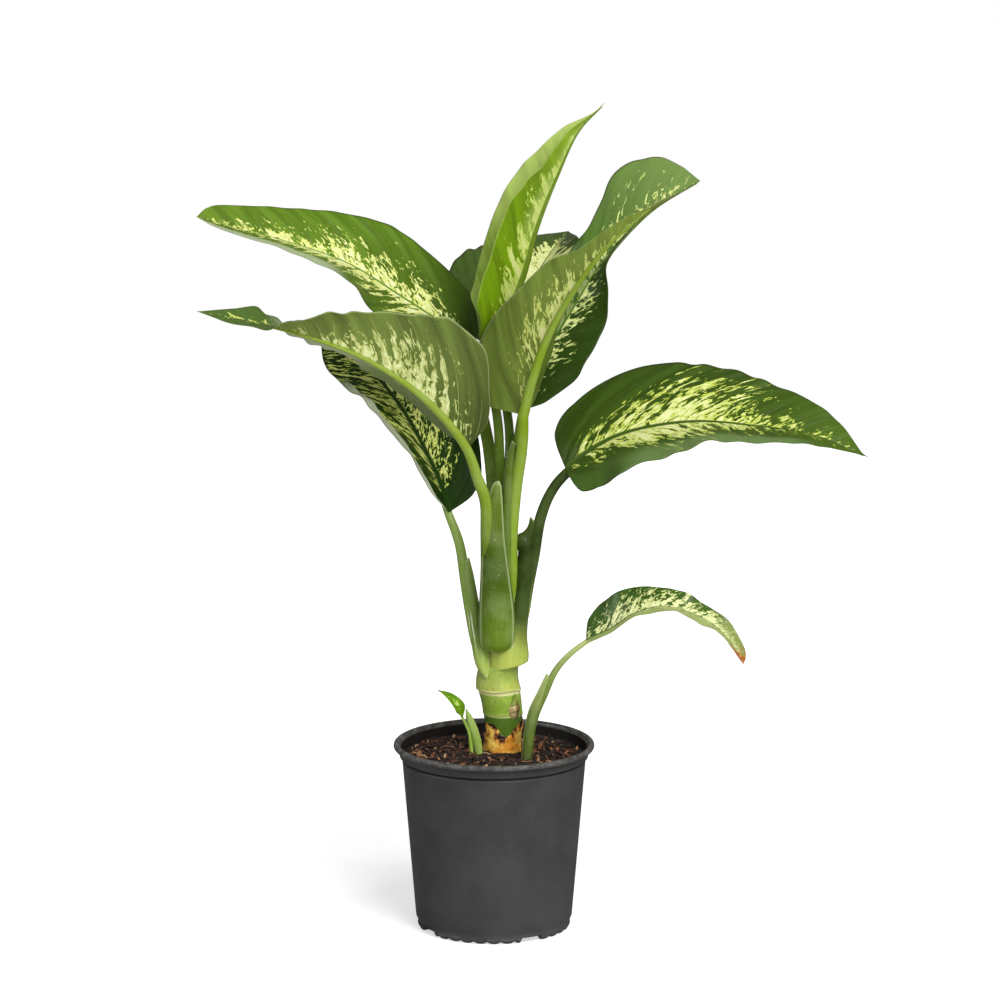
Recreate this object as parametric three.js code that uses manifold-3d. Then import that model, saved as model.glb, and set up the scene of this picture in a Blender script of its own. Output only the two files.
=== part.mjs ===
// Potted dieffenbachia: a nursery pot, its soil, one thick cane and the leaves that grow from it.
// Millimetres, +Z up. The origin is the middle of the pot's underside and -Y is the front.
import * as THREE from 'three';
import Module from 'manifold-3d';

const wasm = await Module();
wasm.setup();

// Clearance kept between any two pieces that touch.
const GAP = 0.3;

// Pot, turned about its own axis.
const POT_HEIGHT = 160;
const RIM_RADIUS = 85;
const RIM_BEAD = 2.6;
const BAND_RADIUS = 79.8;
const STEP_HEIGHT = 147;
const WALL_TOP_RADIUS = 77.8;
const FOOT_RADIUS = 65.4;
const FOOT_ROUND = 3;
const FOOT_RING_WIDTH = 3;
const WALL = 1.5;
const FLOOR_HEIGHT = 5;
const CENTRE_PAD_RADIUS = 14;
const POT_SEGMENTS = 60;
const NOTCH_WIDTH = 20;
const NOTCH_HEIGHT = 4;
const NOTCH_ANGLES = [-150, -60, 30, 120];
const DRAIN_HOLES = 6;
const DRAIN_RADIUS = 4;
const DRAIN_CIRCLE = 44;

// Soil.
const SOIL_EDGE_HEIGHT = 145.5;
const SOIL_DOME = 7;
const SOIL_LUMP = 1.1;
const SOIL_RINGS = 9;

// Leaf blades: a grid of stations along the midrib and columns across it.
const BLADE_STATIONS = 17;
const SHOOT_STATIONS = 7;
const BLADE_COLUMNS = [0.38, 0.7, 1];
const BLADE_THICKNESS = 0.9;
const BLADE_CURL = THREE.MathUtils.degToRad(-8);
const BLADE_END_WIDTH = 1.2;
const BLADE_BACK_SWEEP = 0.12;
const BLADE_BACK_REACH = 0.1;
const RIB_HALF_WIDTH = 2.2;
const RIB_DEPTH = 2.2;
const RIB_TIP_SHARE = 0.2;

// Stalks.
const STALK_SIDES = 11;
const STALK_STEPS = 11;
const STALK_END_GAP = 0.8;

// Each leaf is its midrib's route, the way its upper face looks at stations along it,
// and for each half the stations [share of length, width, rise out of the face in degrees].
const LEAVES = {
  leaf_upper_left: {
    midrib: [[-17, 40, 490], [-38, 36, 509], [-79, 26, 539], [-121, 14, 568], [-168, -4, 589],
      [-211, -22, 604], [-246, -36, 617]],
    face: [[0, 0.1, -0.45, 0.88], [1, 0, -0.45, 0.88]],
    left: [[0, 0, 20], [0.06, 34, 20], [0.2, 48, 12], [0.38, 50, 10], [0.5, 46, 18], [0.7, 32, 22],
      [0.88, 18, 22], [1, 0, 22]],
    right: [[0, 0, 25], [0.06, 34, 25], [0.2, 50, 25], [0.38, 56, 25], [0.5, 48, 25], [0.7, 34, 25],
      [0.85, 23, 25], [1, 0, 25]],
    wave: 2,
  },
  leaf_left: {
    midrib: [[-12, -22, 394], [-23, -32, 425], [-57, -50, 468], [-103, -72, 504], [-151, -90, 527],
      [-200, -104, 542], [-243, -112, 552]],
    face: [[0, 0.15, 0.75, 0.6], [0.45, 0.1, 0.75, 0.6], [0.7, 0, 0.4, 0.85], [0.85, 0, -0.3, 1],
      [1, 0, -0.35, 1]],
    left: [[0, 0, 35], [0.11, 22, 35], [0.2, 46, 35], [0.29, 66, 35], [0.38, 64, 35], [0.48, 50, 35],
      [0.6, 34, 38], [0.72, 28, 25], [0.85, 20, 15], [1, 0, 10]],
    right: [[0, 0, 45], [0.1, 40, 45], [0.29, 64, 45], [0.48, 54, 45], [0.66, 34, 35], [0.85, 18, 15],
      [1, 0, 15]],
    wave: 1.5,
  },
  leaf_lower_left: {
    midrib: [[-38, 34, 351], [-47, 44, 376], [-58, 54, 398], [-73, 66, 425], [-90, 80, 447],
      [-112, 96, 469], [-133, 110, 487], [-147, 118, 496]],
    face: [[0, 0.1, -0.8, 0.5], [1, 0.1, -0.8, 0.5]],
    left: [[0, 0, 60], [0.1, 24, 60], [0.25, 36, 60], [0.4, 40, 52], [0.6, 38, 40], [0.8, 32, 20],
      [0.92, 18, 10], [1, 0, 0]],
    right: [[0, 0, 15], [0.05, 24, 15], [0.13, 38, 15], [0.3, 48, 15], [0.6, 38, 15], [0.8, 20, 15],
      [0.92, 10, 10], [1, 0, 0]],
    wave: 1.5,
  },
  leaf_young: {
    midrib: [[-12, 4, 504], [5, 6, 521], [21, 8, 556], [34, 10, 600], [51, 12, 642], [72, 13, 679],
      [92, 14, 704]],
    face: [[0, -0.8, -0.35, 0.4], [1, -0.7, -0.4, 0.5]],
    left: [[0, 0, 45], [0.15, 36, 45], [0.35, 40, 45], [0.5, 38, 45], [0.65, 32, 45], [0.75, 21, 45],
      [0.88, 11, 40], [1, 0, 35]],
    right: [[0, 0, 62], [0.15, 34, 62], [0.35, 38, 62], [0.5, 32, 62], [0.65, 22, 62], [0.75, 14, 62],
      [0.88, 8, 62], [1, 0, 60]],
    wave: 1,
    light: true,
  },
  leaf_front: {
    midrib: [[26, -24, 447], [34, -32, 481], [47, -42, 520], [68, -56, 561], [93, -72, 598],
      [130, -88, 635]],
    face: [[0, 0.4, 0.8, 0.3], [1, 0.4, 0.8, 0.4]],
    left: [[0, 0, 100], [0.06, 30, 100], [0.2, 44, 100], [0.4, 44, 100], [0.6, 34, 100], [0.8, 18, 100],
      [1, 0, 100]],
    right: [[0, 0, 15], [0.04, 28, 15], [0.1, 40, 15], [0.2, 48, 15], [0.28, 50, 15], [0.4, 42, 15],
      [0.57, 32, 15], [0.68, 17, 20], [0.8, 11, 20], [0.9, 7, 20], [1, 0, 20]],
    wave: 1.5,
  },
  leaf_upper_right: {
    midrib: [[24, 22, 442], [41, 34, 483], [66, 48, 523], [94, 62, 565], [132, 74, 603], [174, 82, 627]],
    face: [[0, 0, -0.85, 0.5], [0.4, 0.1, -0.85, 0.5], [0.7, -0.5, -0.6, 0.6], [1, -0.6, -0.5, 0.6]],
    left: [[0, 0, 15], [0.08, 34, 15], [0.3, 46, 15], [0.5, 46, 15], [0.62, 44, 15], [0.72, 48, 15],
      [0.83, 54, 12], [0.93, 44, 10], [0.98, 24, 5], [1, 0, 0]],
    right: [[0, 0, 20], [0.06, 18, 20], [0.2, 36, 20], [0.3, 36, 22], [0.4, 34, 35], [0.5, 32, 60],
      [0.6, 30, 80], [0.85, 28, 80], [0.95, 18, 80], [1, 0, 80]],
    wave: 2.5,
  },
  leaf_back: {
    midrib: [[2, 60, 484], [14, 84, 506], [26, 112, 523], [40, 144, 541], [53, 176, 554], [64, 204, 562]],
    face: [[0, -0.1, -0.6, 0.8], [1, -0.1, -0.3, 0.95]],
    left: [[0, 0, 15], [0.1, 40, 15], [0.3, 66, 15], [0.45, 70, 15], [0.66, 56, 15], [0.85, 28, 15],
      [1, 0, 10]],
    right: [[0, 0, 30], [0.1, 40, 30], [0.3, 52, 30], [0.5, 50, 30], [0.7, 38, 30], [0.85, 20, 30],
      [1, 0, 25]],
    wave: 2,
  },
  leaf_right: {
    midrib: [[60, -4, 397], [84, -8, 416], [111, -14, 430], [165, -28, 442], [219, -42, 441],
      [265, -54, 436], [310, -64, 420]],
    face: [[0, -0.1, -0.5, 0.87], [1, 0.05, -0.5, 0.87]],
    left: [[0, 0, 12], [0.05, 38, 12], [0.11, 52, 12], [0.23, 64, 12], [0.33, 66, 12], [0.44, 62, 12],
      [0.65, 50, 12], [0.83, 33, 12], [0.92, 22, 12], [1, 0, 12]],
    right: [[0, 0, 5], [0.05, 40, 5], [0.11, 50, 5], [0.23, 58, 12], [0.44, 57, 19], [0.55, 50, 27],
      [0.65, 45, 27], [0.83, 28, 27], [1, 0, 27]],
    wave: 1.8,
  },
  leaf_low: {
    midrib: [[77, -42, 259], [97, -46, 269], [117, -50, 283], [139, -54, 290], [161, -58, 287],
      [184, -62, 276], [201, -66, 258], [208, -68, 244]],
    face: [[0, -0.1, -0.55, 0.83], [1, 0.6, -0.5, 0.6]],
    left: [[0, 0, 15], [0.05, 18, 15], [0.15, 27, 15], [0.31, 24, 15], [0.46, 19, 15], [0.61, 15, 15],
      [0.78, 11, 15], [0.93, 6, 15], [1, 0, 15]],
    right: [[0, 0, 30], [0.05, 16, 30], [0.15, 24, 32], [0.31, 24, 32], [0.46, 22, 32], [0.61, 19, 32],
      [0.78, 14, 32], [0.93, 7, 30], [1, 0, 30]],
    wave: 1.2,
    ribScale: 0.6,
  },
  shoot_leaf: {
    midrib: [[-26, -18, 186], [-30, -20, 196], [-38, -22, 205], [-47, -24, 211]],
    face: [[0, 0.1, -0.55, 0.83], [1, 0.1, -0.55, 0.83]],
    left: [[0, 0, 10], [0.3, 6, 10], [0.6, 4.5, 10], [1, 0, 10]],
    right: [[0, 0, 20], [0.3, 6, 20], [0.6, 4.5, 20], [1, 0, 20]],
    wave: 0,
    stations: SHOOT_STATIONS,
    ribScale: 0.35,
    light: true,
  },
};

// Each stalk runs from its blade, or from its own tip, down to where it is rooted:
// points along it, and its radius at even steps.
const STALKS = {
  stalk_left: {
    leaf: 'leaf_left',
    route: [[-8, -21, 374], [-2, -19, 345], [1, -17, 305], [1, -15, 274], [-1, -11, 250], [1, -6, 230]],
    radii: [4.2, 7.8, 9.3, 11.5, 13.3, 13, 9],
  },
  stalk_front: {
    leaf: 'leaf_front',
    route: [[22, -18, 416], [18, -10, 385], [13, -4, 345], [11, 0, 292], [8, 2, 240]],
    radii: [3.8, 5.2, 6, 6.5, 8, 10],
  },
  stalk_right: {
    leaf: 'leaf_right',
    route: [[51, -3, 384], [44, -2, 370], [37, -1, 352], [30, 0, 323], [26, 0, 298], [22, 0, 273],
      [18, 0, 250], [13, 0, 230]],
    radii: [3.4, 4.2, 4.6, 5, 6.8, 7, 8, 12, 16.5],
  },
  stalk_lower_left: {
    leaf: 'leaf_lower_left',
    route: [[-29, 28, 325], [-24, 22, 297], [-19, 14, 270], [-11, 8, 239], [-3, 3, 218]],
    radii: [3.4, 4.4, 5.2, 6.2, 8.5, 11],
  },
  stalk_low: {
    leaf: 'leaf_low',
    route: [[65, -40, 245], [55, -37, 231], [45, -33, 210], [35, -30, 189], [29, -28, 165], [25, -26, 138]],
    radii: [2, 2.3, 2.6, 3.6, 5.2, 6, 6],
  },
  shoot_stalk: {
    leaf: 'shoot_leaf',
    route: [[-21, -17, 173], [-19, -16, 157], [-18, -16, 135]],
    radii: [1.2, 1.5, 1.9, 2],
  },
  shoot_rolled_leaf: {
    route: [[-23, -12, 191], [-19, -12, 179], [-14, -12, 165], [-12, -12, 147], [-12, -12, 130]],
    radii: [0.8, 2.6, 3.6, 3.4, 3.2],
  },
};

// The innermost stalks are packed too tightly to part, so they are one piece.
const INNER_STALKS = {
  young: {
    leaf: 'leaf_young',
    route: [[-4, 5, 471], [3, 6, 437], [5, 8, 386], [5, 9, 317], [5, 8, 224]],
    radii: [3.2, 3.6, 4, 4.5, 6, 7],
  },
  upper_left: {
    leaf: 'leaf_upper_left',
    route: [[-13, 38, 448], [-6, 30, 406], [0, 21, 365], [1, 14, 316], [3, 9, 224]],
    radii: [3.8, 4.4, 4.8, 5.5, 6.5, 7],
  },
  back: {
    leaf: 'leaf_back',
    route: [[8, 46, 454], [13, 33, 421], [12, 21, 382], [10, 15, 316], [8, 9, 224]],
    radii: [3.6, 3.8, 4, 4.5, 6, 7],
  },
  upper_right: {
    leaf: 'leaf_upper_right',
    route: [[19, 18, 409], [16, 13, 367], [13, 11, 307], [9, 9, 224]],
    radii: [3.6, 4, 4.5, 6, 7],
  },
};

const CANE = {
  route: [[4, 0, 228], [3, 0, 214], [6, 0, 197], [8, 0, 179], [7, 0, 151], [7, 0, 118], [7, 0, 96]],
  radii: [16.5, 18.4, 16.2, 15.4, 16.3, 16.3, 15],
};
const BUD = {
  route: [[20, -13, 199], [18, -12.5, 192], [17, -11, 184], [16, -9, 178]],
  radii: [0.8, 4, 5.4, 4],
};

const COLOURS = {
  potPlastic: { color: 0x3a3a3a, roughness: 0.5 },
  soil: { color: 0x3a2418, roughness: 0.95 },
  cane: { color: 0xb4bd7c, roughness: 0.5 },
  bud: { color: 0xc09a62, roughness: 0.6 },
  stalk: { color: 0x84a555, roughness: 0.4 },
  leaf: { color: 0x4a6b35, roughness: 0.35 },
  youngLeaf: { color: 0x9cc25e, roughness: 0.35 },
};

const vector = ([x, y, z]) => new THREE.Vector3(x, y, z);
const curveThrough = (points) => new THREE.CatmullRomCurve3(points, false, 'centripetal');

// A value that follows its keys without overshooting them.
function monotone(keys, column, x) {
  const last = keys.length - 1;
  const secant = (i) => (keys[i + 1][column] - keys[i][column]) / (keys[i + 1][0] - keys[i][0]);
  const slope = (i) => {
    if (i === 0) return secant(0);
    if (i === last) return secant(last - 1);
    const before = secant(i - 1);
    const after = secant(i);
    return before * after > 0 ? (2 * before * after) / (before + after) : 0;
  };
  let i = 0;
  while (i < last - 1 && x > keys[i + 1][0]) i += 1;
  const span = keys[i + 1][0] - keys[i][0];
  const t = (x - keys[i][0]) / span;
  const start = keys[i][column];
  const end = keys[i + 1][column];
  const rise = t * t * (3 - 2 * t);
  const leave = t * (1 - t) * (1 - t) * span * slope(i);
  const arrive = t * t * (t - 1) * span * slope(i + 1);
  return start + (end - start) * rise + leave + arrive;
}

function solidFrom(positions, triangles) {
  return new wasm.Manifold(new wasm.Mesh({
    numProp: 3,
    vertProperties: new Float32Array(positions),
    triVerts: new Uint32Array(triangles),
  }));
}

function solidFromGeometry(geometry) {
  const found = new Map();
  const positions = [];
  const position = geometry.getAttribute('position');
  const index = geometry.index ? geometry.index.array : position.array.keys();
  const corner = (i) => {
    const point = [position.getX(i), position.getY(i), position.getZ(i)];
    const key = point.map((value) => Math.round(value * 1e4)).join();
    if (!found.has(key)) {
      found.set(key, found.size);
      positions.push(...point);
    }
    return found.get(key);
  };
  const triangles = [];
  for (let i = 0; i < index.length; i += 3) {
    const triangle = [corner(index[i]), corner(index[i + 1]), corner(index[i + 2])];
    if (new Set(triangle).size === 3) triangles.push(...triangle);
  }
  return solidFrom(positions, triangles);
}

function geometryFromSolid(solid) {
  const { vertProperties, triVerts } = solid.getMesh();
  const geometry = new THREE.BufferGeometry();
  geometry.setAttribute('position', new THREE.BufferAttribute(new Float32Array(vertProperties), 3));
  geometry.setIndex(new THREE.BufferAttribute(new Uint32Array(triVerts), 1));
  geometry.computeVertexNormals();
  return geometry;
}

const largestPiece = (solid) => solid.decompose().sort((a, b) => b.volume() - a.volume())[0];

// One station of a blade: its place on the midrib and the three directions there.
function bladeStation(leaf, curve, share) {
  const along = curve.getTangentAt(share);
  const face = new THREE.Vector3(...[1, 2, 3].map((column) => monotone(leaf.face, column, share)));
  const up = face.addScaledVector(along, -face.dot(along)).normalize();
  const across = new THREE.Vector3().crossVectors(along, up);
  return { place: curve.getPointAt(share), along, up, across };
}

// How far a column stands off the midrib: each half rises at its own angle, curls as an arc
// and waves more towards its margin.
function bladePoint(leaf, station, share, side, column) {
  const half = side > 0 ? leaf.right : leaf.left;
  const width = Math.max(monotone(half, 1, share), BLADE_END_WIDTH);
  const rise = THREE.MathUtils.degToRad(monotone(half, 2, share));
  const turned = rise + BLADE_CURL * column;
  const waves = side > 0 ? 3.5 * share + 0.37 : 4 * share + 0.06;
  const fade = Math.min(1, 2 * Math.sin(Math.PI * share));
  const wave = leaf.wave * Math.sin(2 * Math.PI * waves) * column * column * fade;
  const out = (width / BLADE_CURL) * (Math.sin(turned) - Math.sin(rise)) - Math.sin(turned) * wave;
  const lift = (-width / BLADE_CURL) * (Math.cos(turned) - Math.cos(rise)) + Math.cos(turned) * wave;
  const back = BLADE_BACK_SWEEP * width * column ** 1.5 * Math.exp(-share / BLADE_BACK_REACH);
  return station.place.clone()
    .addScaledVector(station.across, side * out)
    .addScaledVector(station.up, lift)
    .addScaledVector(station.along, -back);
}

// Columns of one station from margin to margin, with the midrib's two edges beside its centre.
function bladeRow(leaf, curve, share) {
  const station = bladeStation(leaf, curve, share);
  const ribScale = (leaf.ribScale ?? 1) * (1 - share * (1 - RIB_TIP_SHARE));
  const side = (sign) => {
    const half = sign > 0 ? leaf.right : leaf.left;
    const width = Math.max(monotone(half, 1, share), BLADE_END_WIDTH);
    const ribEdge = Math.min(0.3, (RIB_HALF_WIDTH * ribScale) / width);
    return [ribEdge, ...BLADE_COLUMNS].map((column) => bladePoint(leaf, station, share, sign, column));
  };
  const middle = bladePoint(leaf, station, share, 1, 0);
  return { points: [...side(-1).reverse(), middle, ...side(1)], up: station.up, ribScale };
}

// A blade as a closed solid: the upper face, and the lower face one thickness below it,
// split into triangles alike, with the midrib raised under the middle column.
function bladeSolid(leaf, extra = 0) {
  const curve = curveThrough(leaf.midrib.map(vector));
  const stations = leaf.stations ?? BLADE_STATIONS;
  const rows = [];
  for (let i = 0; i < stations; i += 1) {
    rows.push(bladeRow(leaf, curve, i / (stations - 1)));
  }
  const columns = rows[0].points.length;
  const middle = (columns - 1) / 2;
  const upper = [];
  const lower = [];
  rows.forEach((row, i) => {
    const before = rows[Math.max(i - 1, 0)].points;
    const after = rows[Math.min(i + 1, rows.length - 1)].points;
    row.points.forEach((point, j) => {
      const along = after[j].clone().sub(before[j]);
      const across = row.points[Math.min(j + 1, columns - 1)].clone().sub(row.points[Math.max(j - 1, 0)]);
      const normal = across.cross(along).normalize();
      const half = BLADE_THICKNESS / 2 + extra;
      const rib = j === middle ? RIB_DEPTH * row.ribScale : 0;
      upper.push(...point.clone().addScaledVector(normal, half).toArray());
      lower.push(...point.clone().addScaledVector(normal, -half - rib).toArray());
    });
  });
  const count = rows.length * columns;
  const triangles = [];
  for (let i = 0; i < rows.length - 1; i += 1) {
    for (let j = 0; j < columns - 1; j += 1) {
      const a = i * columns + j;
      const b = a + columns;
      triangles.push(a, a + 1, b + 1, a, b + 1, b);
      triangles.push(count + a, count + b + 1, count + a + 1, count + a, count + b, count + b + 1);
    }
  }
  const edge = [];
  for (let j = 0; j < columns; j += 1) edge.push(j);
  for (let i = 1; i < rows.length; i += 1) edge.push(i * columns + columns - 1);
  for (let j = columns - 2; j >= 0; j -= 1) edge.push((rows.length - 1) * columns + j);
  for (let i = rows.length - 2; i >= 1; i -= 1) edge.push(i * columns);
  edge.forEach((a, k) => {
    const b = edge[(k + 1) % edge.length];
    triangles.push(a, count + b, b, a, count + a, count + b);
  });
  return solidFrom([...upper, ...lower], triangles);
}

// A round stem along a curve, with its radius given at even steps.
function stemSolid({ route, radii, leaf }, extra = 0) {
  const points = route.map(vector);
  if (leaf) {
    const base = vector(LEAVES[leaf].midrib[0]);
    const towards = base.clone().sub(points[0]).normalize();
    points.unshift(base.addScaledVector(towards, -STALK_END_GAP));
  }
  const curve = curveThrough(points);
  const keys = radii.map((radius, i) => [i / (radii.length - 1), radius]);
  const positions = [];
  for (let i = 0; i <= STALK_STEPS; i += 1) {
    const share = i / STALK_STEPS;
    const along = curve.getTangentAt(share);
    const side = new THREE.Vector3().crossVectors(along, new THREE.Vector3(0, 1, 0)).normalize();
    const front = new THREE.Vector3().crossVectors(along, side);
    const place = curve.getPointAt(share);
    if (i === 0) place.addScaledVector(along, -extra);
    if (i === STALK_STEPS) place.addScaledVector(along, extra);
    const radius = monotone(keys, 1, share) + extra;
    for (let j = 0; j < STALK_SIDES; j += 1) {
      const turn = (2 * Math.PI * j) / STALK_SIDES;
      const point = place.clone()
        .addScaledVector(side, radius * Math.cos(turn))
        .addScaledVector(front, radius * Math.sin(turn));
      positions.push(...point.toArray());
    }
  }
  const triangles = [];
  for (let i = 0; i < STALK_STEPS; i += 1) {
    for (let j = 0; j < STALK_SIDES; j += 1) {
      const a = i * STALK_SIDES + j;
      const b = i * STALK_SIDES + ((j + 1) % STALK_SIDES);
      triangles.push(a, b, b + STALK_SIDES, a, b + STALK_SIDES, a + STALK_SIDES);
    }
  }
  const lastRing = STALK_STEPS * STALK_SIDES;
  for (let j = 1; j < STALK_SIDES - 1; j += 1) {
    triangles.push(0, j + 1, j, lastRing, lastRing + j, lastRing + j + 1);
  }
  return solidFrom(positions, triangles);
}

const latheSolid = (profile, segments = POT_SEGMENTS) => {
  const points = profile.map(([radius, height]) => new THREE.Vector2(radius, height));
  const geometry = new THREE.LatheGeometry(points, segments);
  geometry.rotateX(Math.PI / 2);
  return solidFromGeometry(geometry);
};

const wallRadius = (height) => FOOT_RADIUS + (WALL_TOP_RADIUS - FOOT_RADIUS) * (height / STEP_HEIGHT);

function potProfile() {
  const bandTop = POT_HEIGHT - RIM_BEAD;
  const bead = [];
  const beadCentre = RIM_RADIUS - RIM_BEAD;
  for (const degrees of [-75, -35, 0, 35, 70, 105, 140, 170]) {
    const angle = THREE.MathUtils.degToRad(degrees);
    bead.push([beadCentre + RIM_BEAD * Math.cos(angle), bandTop + RIM_BEAD * Math.sin(angle)]);
  }
  return [
    [0, 0], [CENTRE_PAD_RADIUS, 0], [CENTRE_PAD_RADIUS + 2, FLOOR_HEIGHT],
    [FOOT_RADIUS - FOOT_ROUND - FOOT_RING_WIDTH - 1, FLOOR_HEIGHT],
    [FOOT_RADIUS - FOOT_ROUND - FOOT_RING_WIDTH, 0],
    [FOOT_RADIUS - FOOT_ROUND, 0], [FOOT_RADIUS - 0.9, 0.9], [FOOT_RADIUS, FOOT_ROUND],
    [WALL_TOP_RADIUS, STEP_HEIGHT], [BAND_RADIUS, STEP_HEIGHT + 1],
    [BAND_RADIUS + 0.5, bandTop - RIM_BEAD],
    ...bead,
    [BAND_RADIUS - WALL, STEP_HEIGHT + 1 - WALL], [wallRadius(STEP_HEIGHT - 2) - WALL, STEP_HEIGHT - 2],
    [wallRadius(FLOOR_HEIGHT + 5) - WALL, FLOOR_HEIGHT + 5],
    [wallRadius(FLOOR_HEIGHT) - WALL - 4, FLOOR_HEIGHT + WALL],
    [0, FLOOR_HEIGHT + WALL],
  ];
}

// The pot, with a notch across the foot ring on four sides and drain holes through the floor.
function potSolid() {
  let pot = latheSolid(potProfile());
  for (const degrees of NOTCH_ANGLES) {
    const notch = new THREE.BoxGeometry(NOTCH_WIDTH, 16, 2 * NOTCH_HEIGHT);
    notch.translate(0, -FOOT_RADIUS, 0);
    notch.rotateZ(THREE.MathUtils.degToRad(degrees));
    pot = pot.subtract(solidFromGeometry(notch));
  }
  for (let i = 0; i < DRAIN_HOLES; i += 1) {
    const hole = new THREE.CylinderGeometry(DRAIN_RADIUS, DRAIN_RADIUS, 4 * FLOOR_HEIGHT, 16);
    hole.rotateX(Math.PI / 2);
    hole.translate(DRAIN_CIRCLE, 0, FLOOR_HEIGHT);
    hole.rotateZ((2 * Math.PI * (i + 0.5)) / DRAIN_HOLES);
    pot = pot.subtract(solidFromGeometry(hole));
  }
  return pot;
}

// The soil fills the pot. Its top is domed towards the cane and lumpy.
function soilSolid(stems) {
  const floor = FLOOR_HEIGHT + WALL + GAP;
  const side = (height) => wallRadius(height) - WALL - 2 * GAP;
  const top = [];
  for (let i = 0; i <= SOIL_RINGS; i += 1) {
    const share = 1 - i / SOIL_RINGS;
    top.push([side(SOIL_EDGE_HEIGHT) * share, SOIL_EDGE_HEIGHT + SOIL_DOME * (1 - share * share)]);
  }
  const profile = [[0, floor], [side(floor) - 5, floor], [side(floor + 5), floor + 5], ...top];
  const geometry = new THREE.LatheGeometry(profile.map(([r, z]) => new THREE.Vector2(r, z)), POT_SEGMENTS / 2);
  geometry.rotateX(Math.PI / 2);
  const position = geometry.getAttribute('position');
  for (let i = 0; i < position.count; i += 1) {
    const [x, y, z] = [position.getX(i), position.getY(i), position.getZ(i)];
    if (z < SOIL_EDGE_HEIGHT + GAP) continue;
    const lump = Math.sin(x * 0.31 + 1.3) * Math.cos(y * 0.27) + Math.sin(x * 0.13 - y * 0.37);
    position.setZ(i, z + SOIL_LUMP * 0.6 * lump);
  }
  return stems.reduce((soil, stem) => soil.subtract(stemSolid(stem, GAP)), solidFromGeometry(geometry));
}

const group = new THREE.Group();

function add(name, solid, look) {
  const mesh = new THREE.Mesh(geometryFromSolid(solid), new THREE.MeshStandardMaterial(look));
  mesh.name = name;
  group.add(mesh);
}

const cutBy = (solid, cutters) => largestPiece(cutters.reduce((left, cutter) => left.subtract(cutter), solid));

// Stalks are cut clear of the cane, of every blade and of the stalks placed before them.
function addPlant() {
  const clearBlades = Object.values(LEAVES).map((leaf) => bladeSolid(leaf, GAP));
  const cutters = [stemSolid(CANE, GAP), ...clearBlades];
  add('cane', stemSolid(CANE), COLOURS.cane);
  for (const [name, stalk] of Object.entries(STALKS)) {
    const young = stalk.leaf ? LEAVES[stalk.leaf].light : true;
    add(name, cutBy(stemSolid(stalk), cutters), young ? COLOURS.youngLeaf : COLOURS.stalk);
    cutters.push(stemSolid(stalk, GAP));
  }
  const inner = Object.values(INNER_STALKS).map((stalk) => stemSolid(stalk));
  add('inner_stalks', cutBy(inner.reduce((joined, stalk) => joined.add(stalk)), cutters), COLOURS.stalk);
  for (const [name, leaf] of Object.entries(LEAVES)) {
    add(name, bladeSolid(leaf), leaf.light ? COLOURS.youngLeaf : COLOURS.leaf);
  }
  add('bud', cutBy(stemSolid(BUD), [stemSolid(CANE, GAP)]), COLOURS.bud);
}

add('pot', potSolid(), COLOURS.potPlastic);
add('soil', soilSolid([CANE, STALKS.stalk_low, STALKS.shoot_stalk, STALKS.shoot_rolled_leaf]), COLOURS.soil);
addPlant();

export default group;
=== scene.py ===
"""Potted dieffenbachia: the looks of the pot, the soil, the cane, the stalks and the variegated leaves.

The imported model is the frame. Each of its nodes is replaced by a finer piece of the same form. Shapes are
worked out in millimetres, in the frame's axes, and written to the meshes in metres.
"""
import math

import bpy
import numpy as np
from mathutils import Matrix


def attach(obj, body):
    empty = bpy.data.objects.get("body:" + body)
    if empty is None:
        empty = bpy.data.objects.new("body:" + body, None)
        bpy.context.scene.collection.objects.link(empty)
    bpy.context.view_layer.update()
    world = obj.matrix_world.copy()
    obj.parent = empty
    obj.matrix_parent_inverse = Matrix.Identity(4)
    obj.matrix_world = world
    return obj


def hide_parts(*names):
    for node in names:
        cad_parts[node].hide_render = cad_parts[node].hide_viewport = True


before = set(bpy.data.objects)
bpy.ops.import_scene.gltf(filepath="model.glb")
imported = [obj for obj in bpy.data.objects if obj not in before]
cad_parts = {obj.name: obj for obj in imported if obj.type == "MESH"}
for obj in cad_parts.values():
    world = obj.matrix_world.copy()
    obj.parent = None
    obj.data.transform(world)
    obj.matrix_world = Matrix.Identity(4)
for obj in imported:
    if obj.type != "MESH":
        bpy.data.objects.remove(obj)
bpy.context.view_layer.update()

MM = 0.001
CM_PER_MM = 0.1
BODY = "root"
STUDIO_LIGHT = 1.05

# Pot and soil, in millimetres. The soil's edge is a little higher and flatter than the frame's.
RIM_RADIUS = 85.0
POT_HEIGHT = 160.0
RIM_BEAD = 2.6
BAND_RADIUS = 79.8
STEP_HEIGHT = 147.0
WALL_TOP_RADIUS = 77.8
FOOT_RADIUS = 65.4
FOOT_ROUND = 3.0
FOOT_RING_WIDTH = 3.0
FOOT_INSIDE = FOOT_RADIUS - FOOT_ROUND - FOOT_RING_WIDTH
WALL = 1.5
FLOOR_HEIGHT = 5.0
FLOOR_TOP = FLOOR_HEIGHT + WALL
FLOOR_OVERLAP = 4.0
CENTRE_PAD_RADIUS = 14.0
DRAIN_HOLES = 6
DRAIN_RADIUS = 4.0
DRAIN_CIRCLE = 44.0
NOTCH_WIDTH = 20.0
NOTCH_HEIGHT = 4.0
NOTCH_SLOPE = 1.6
NOTCH_ANGLES = (-150.0, -60.0, 30.0, 120.0)
SCALLOPS = 34
SCALLOP_DEPTH = 1.7
FOOT_FADE = 7.0
POT_AROUND = 408
PAD_AROUND = 96
SOIL_AROUND = 300
SOIL_RINGS = 90
SOIL_MIDDLE = 0.03
SOIL_GAP = 0.4
SOIL_BASE_GAP = 0.3
SOIL_BASE_INSET = 5.0
SOIL_LOW_WALL = 12.0
SOIL_EDGE_HEIGHT = 148.0
SOIL_DOME = 5.5
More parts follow.
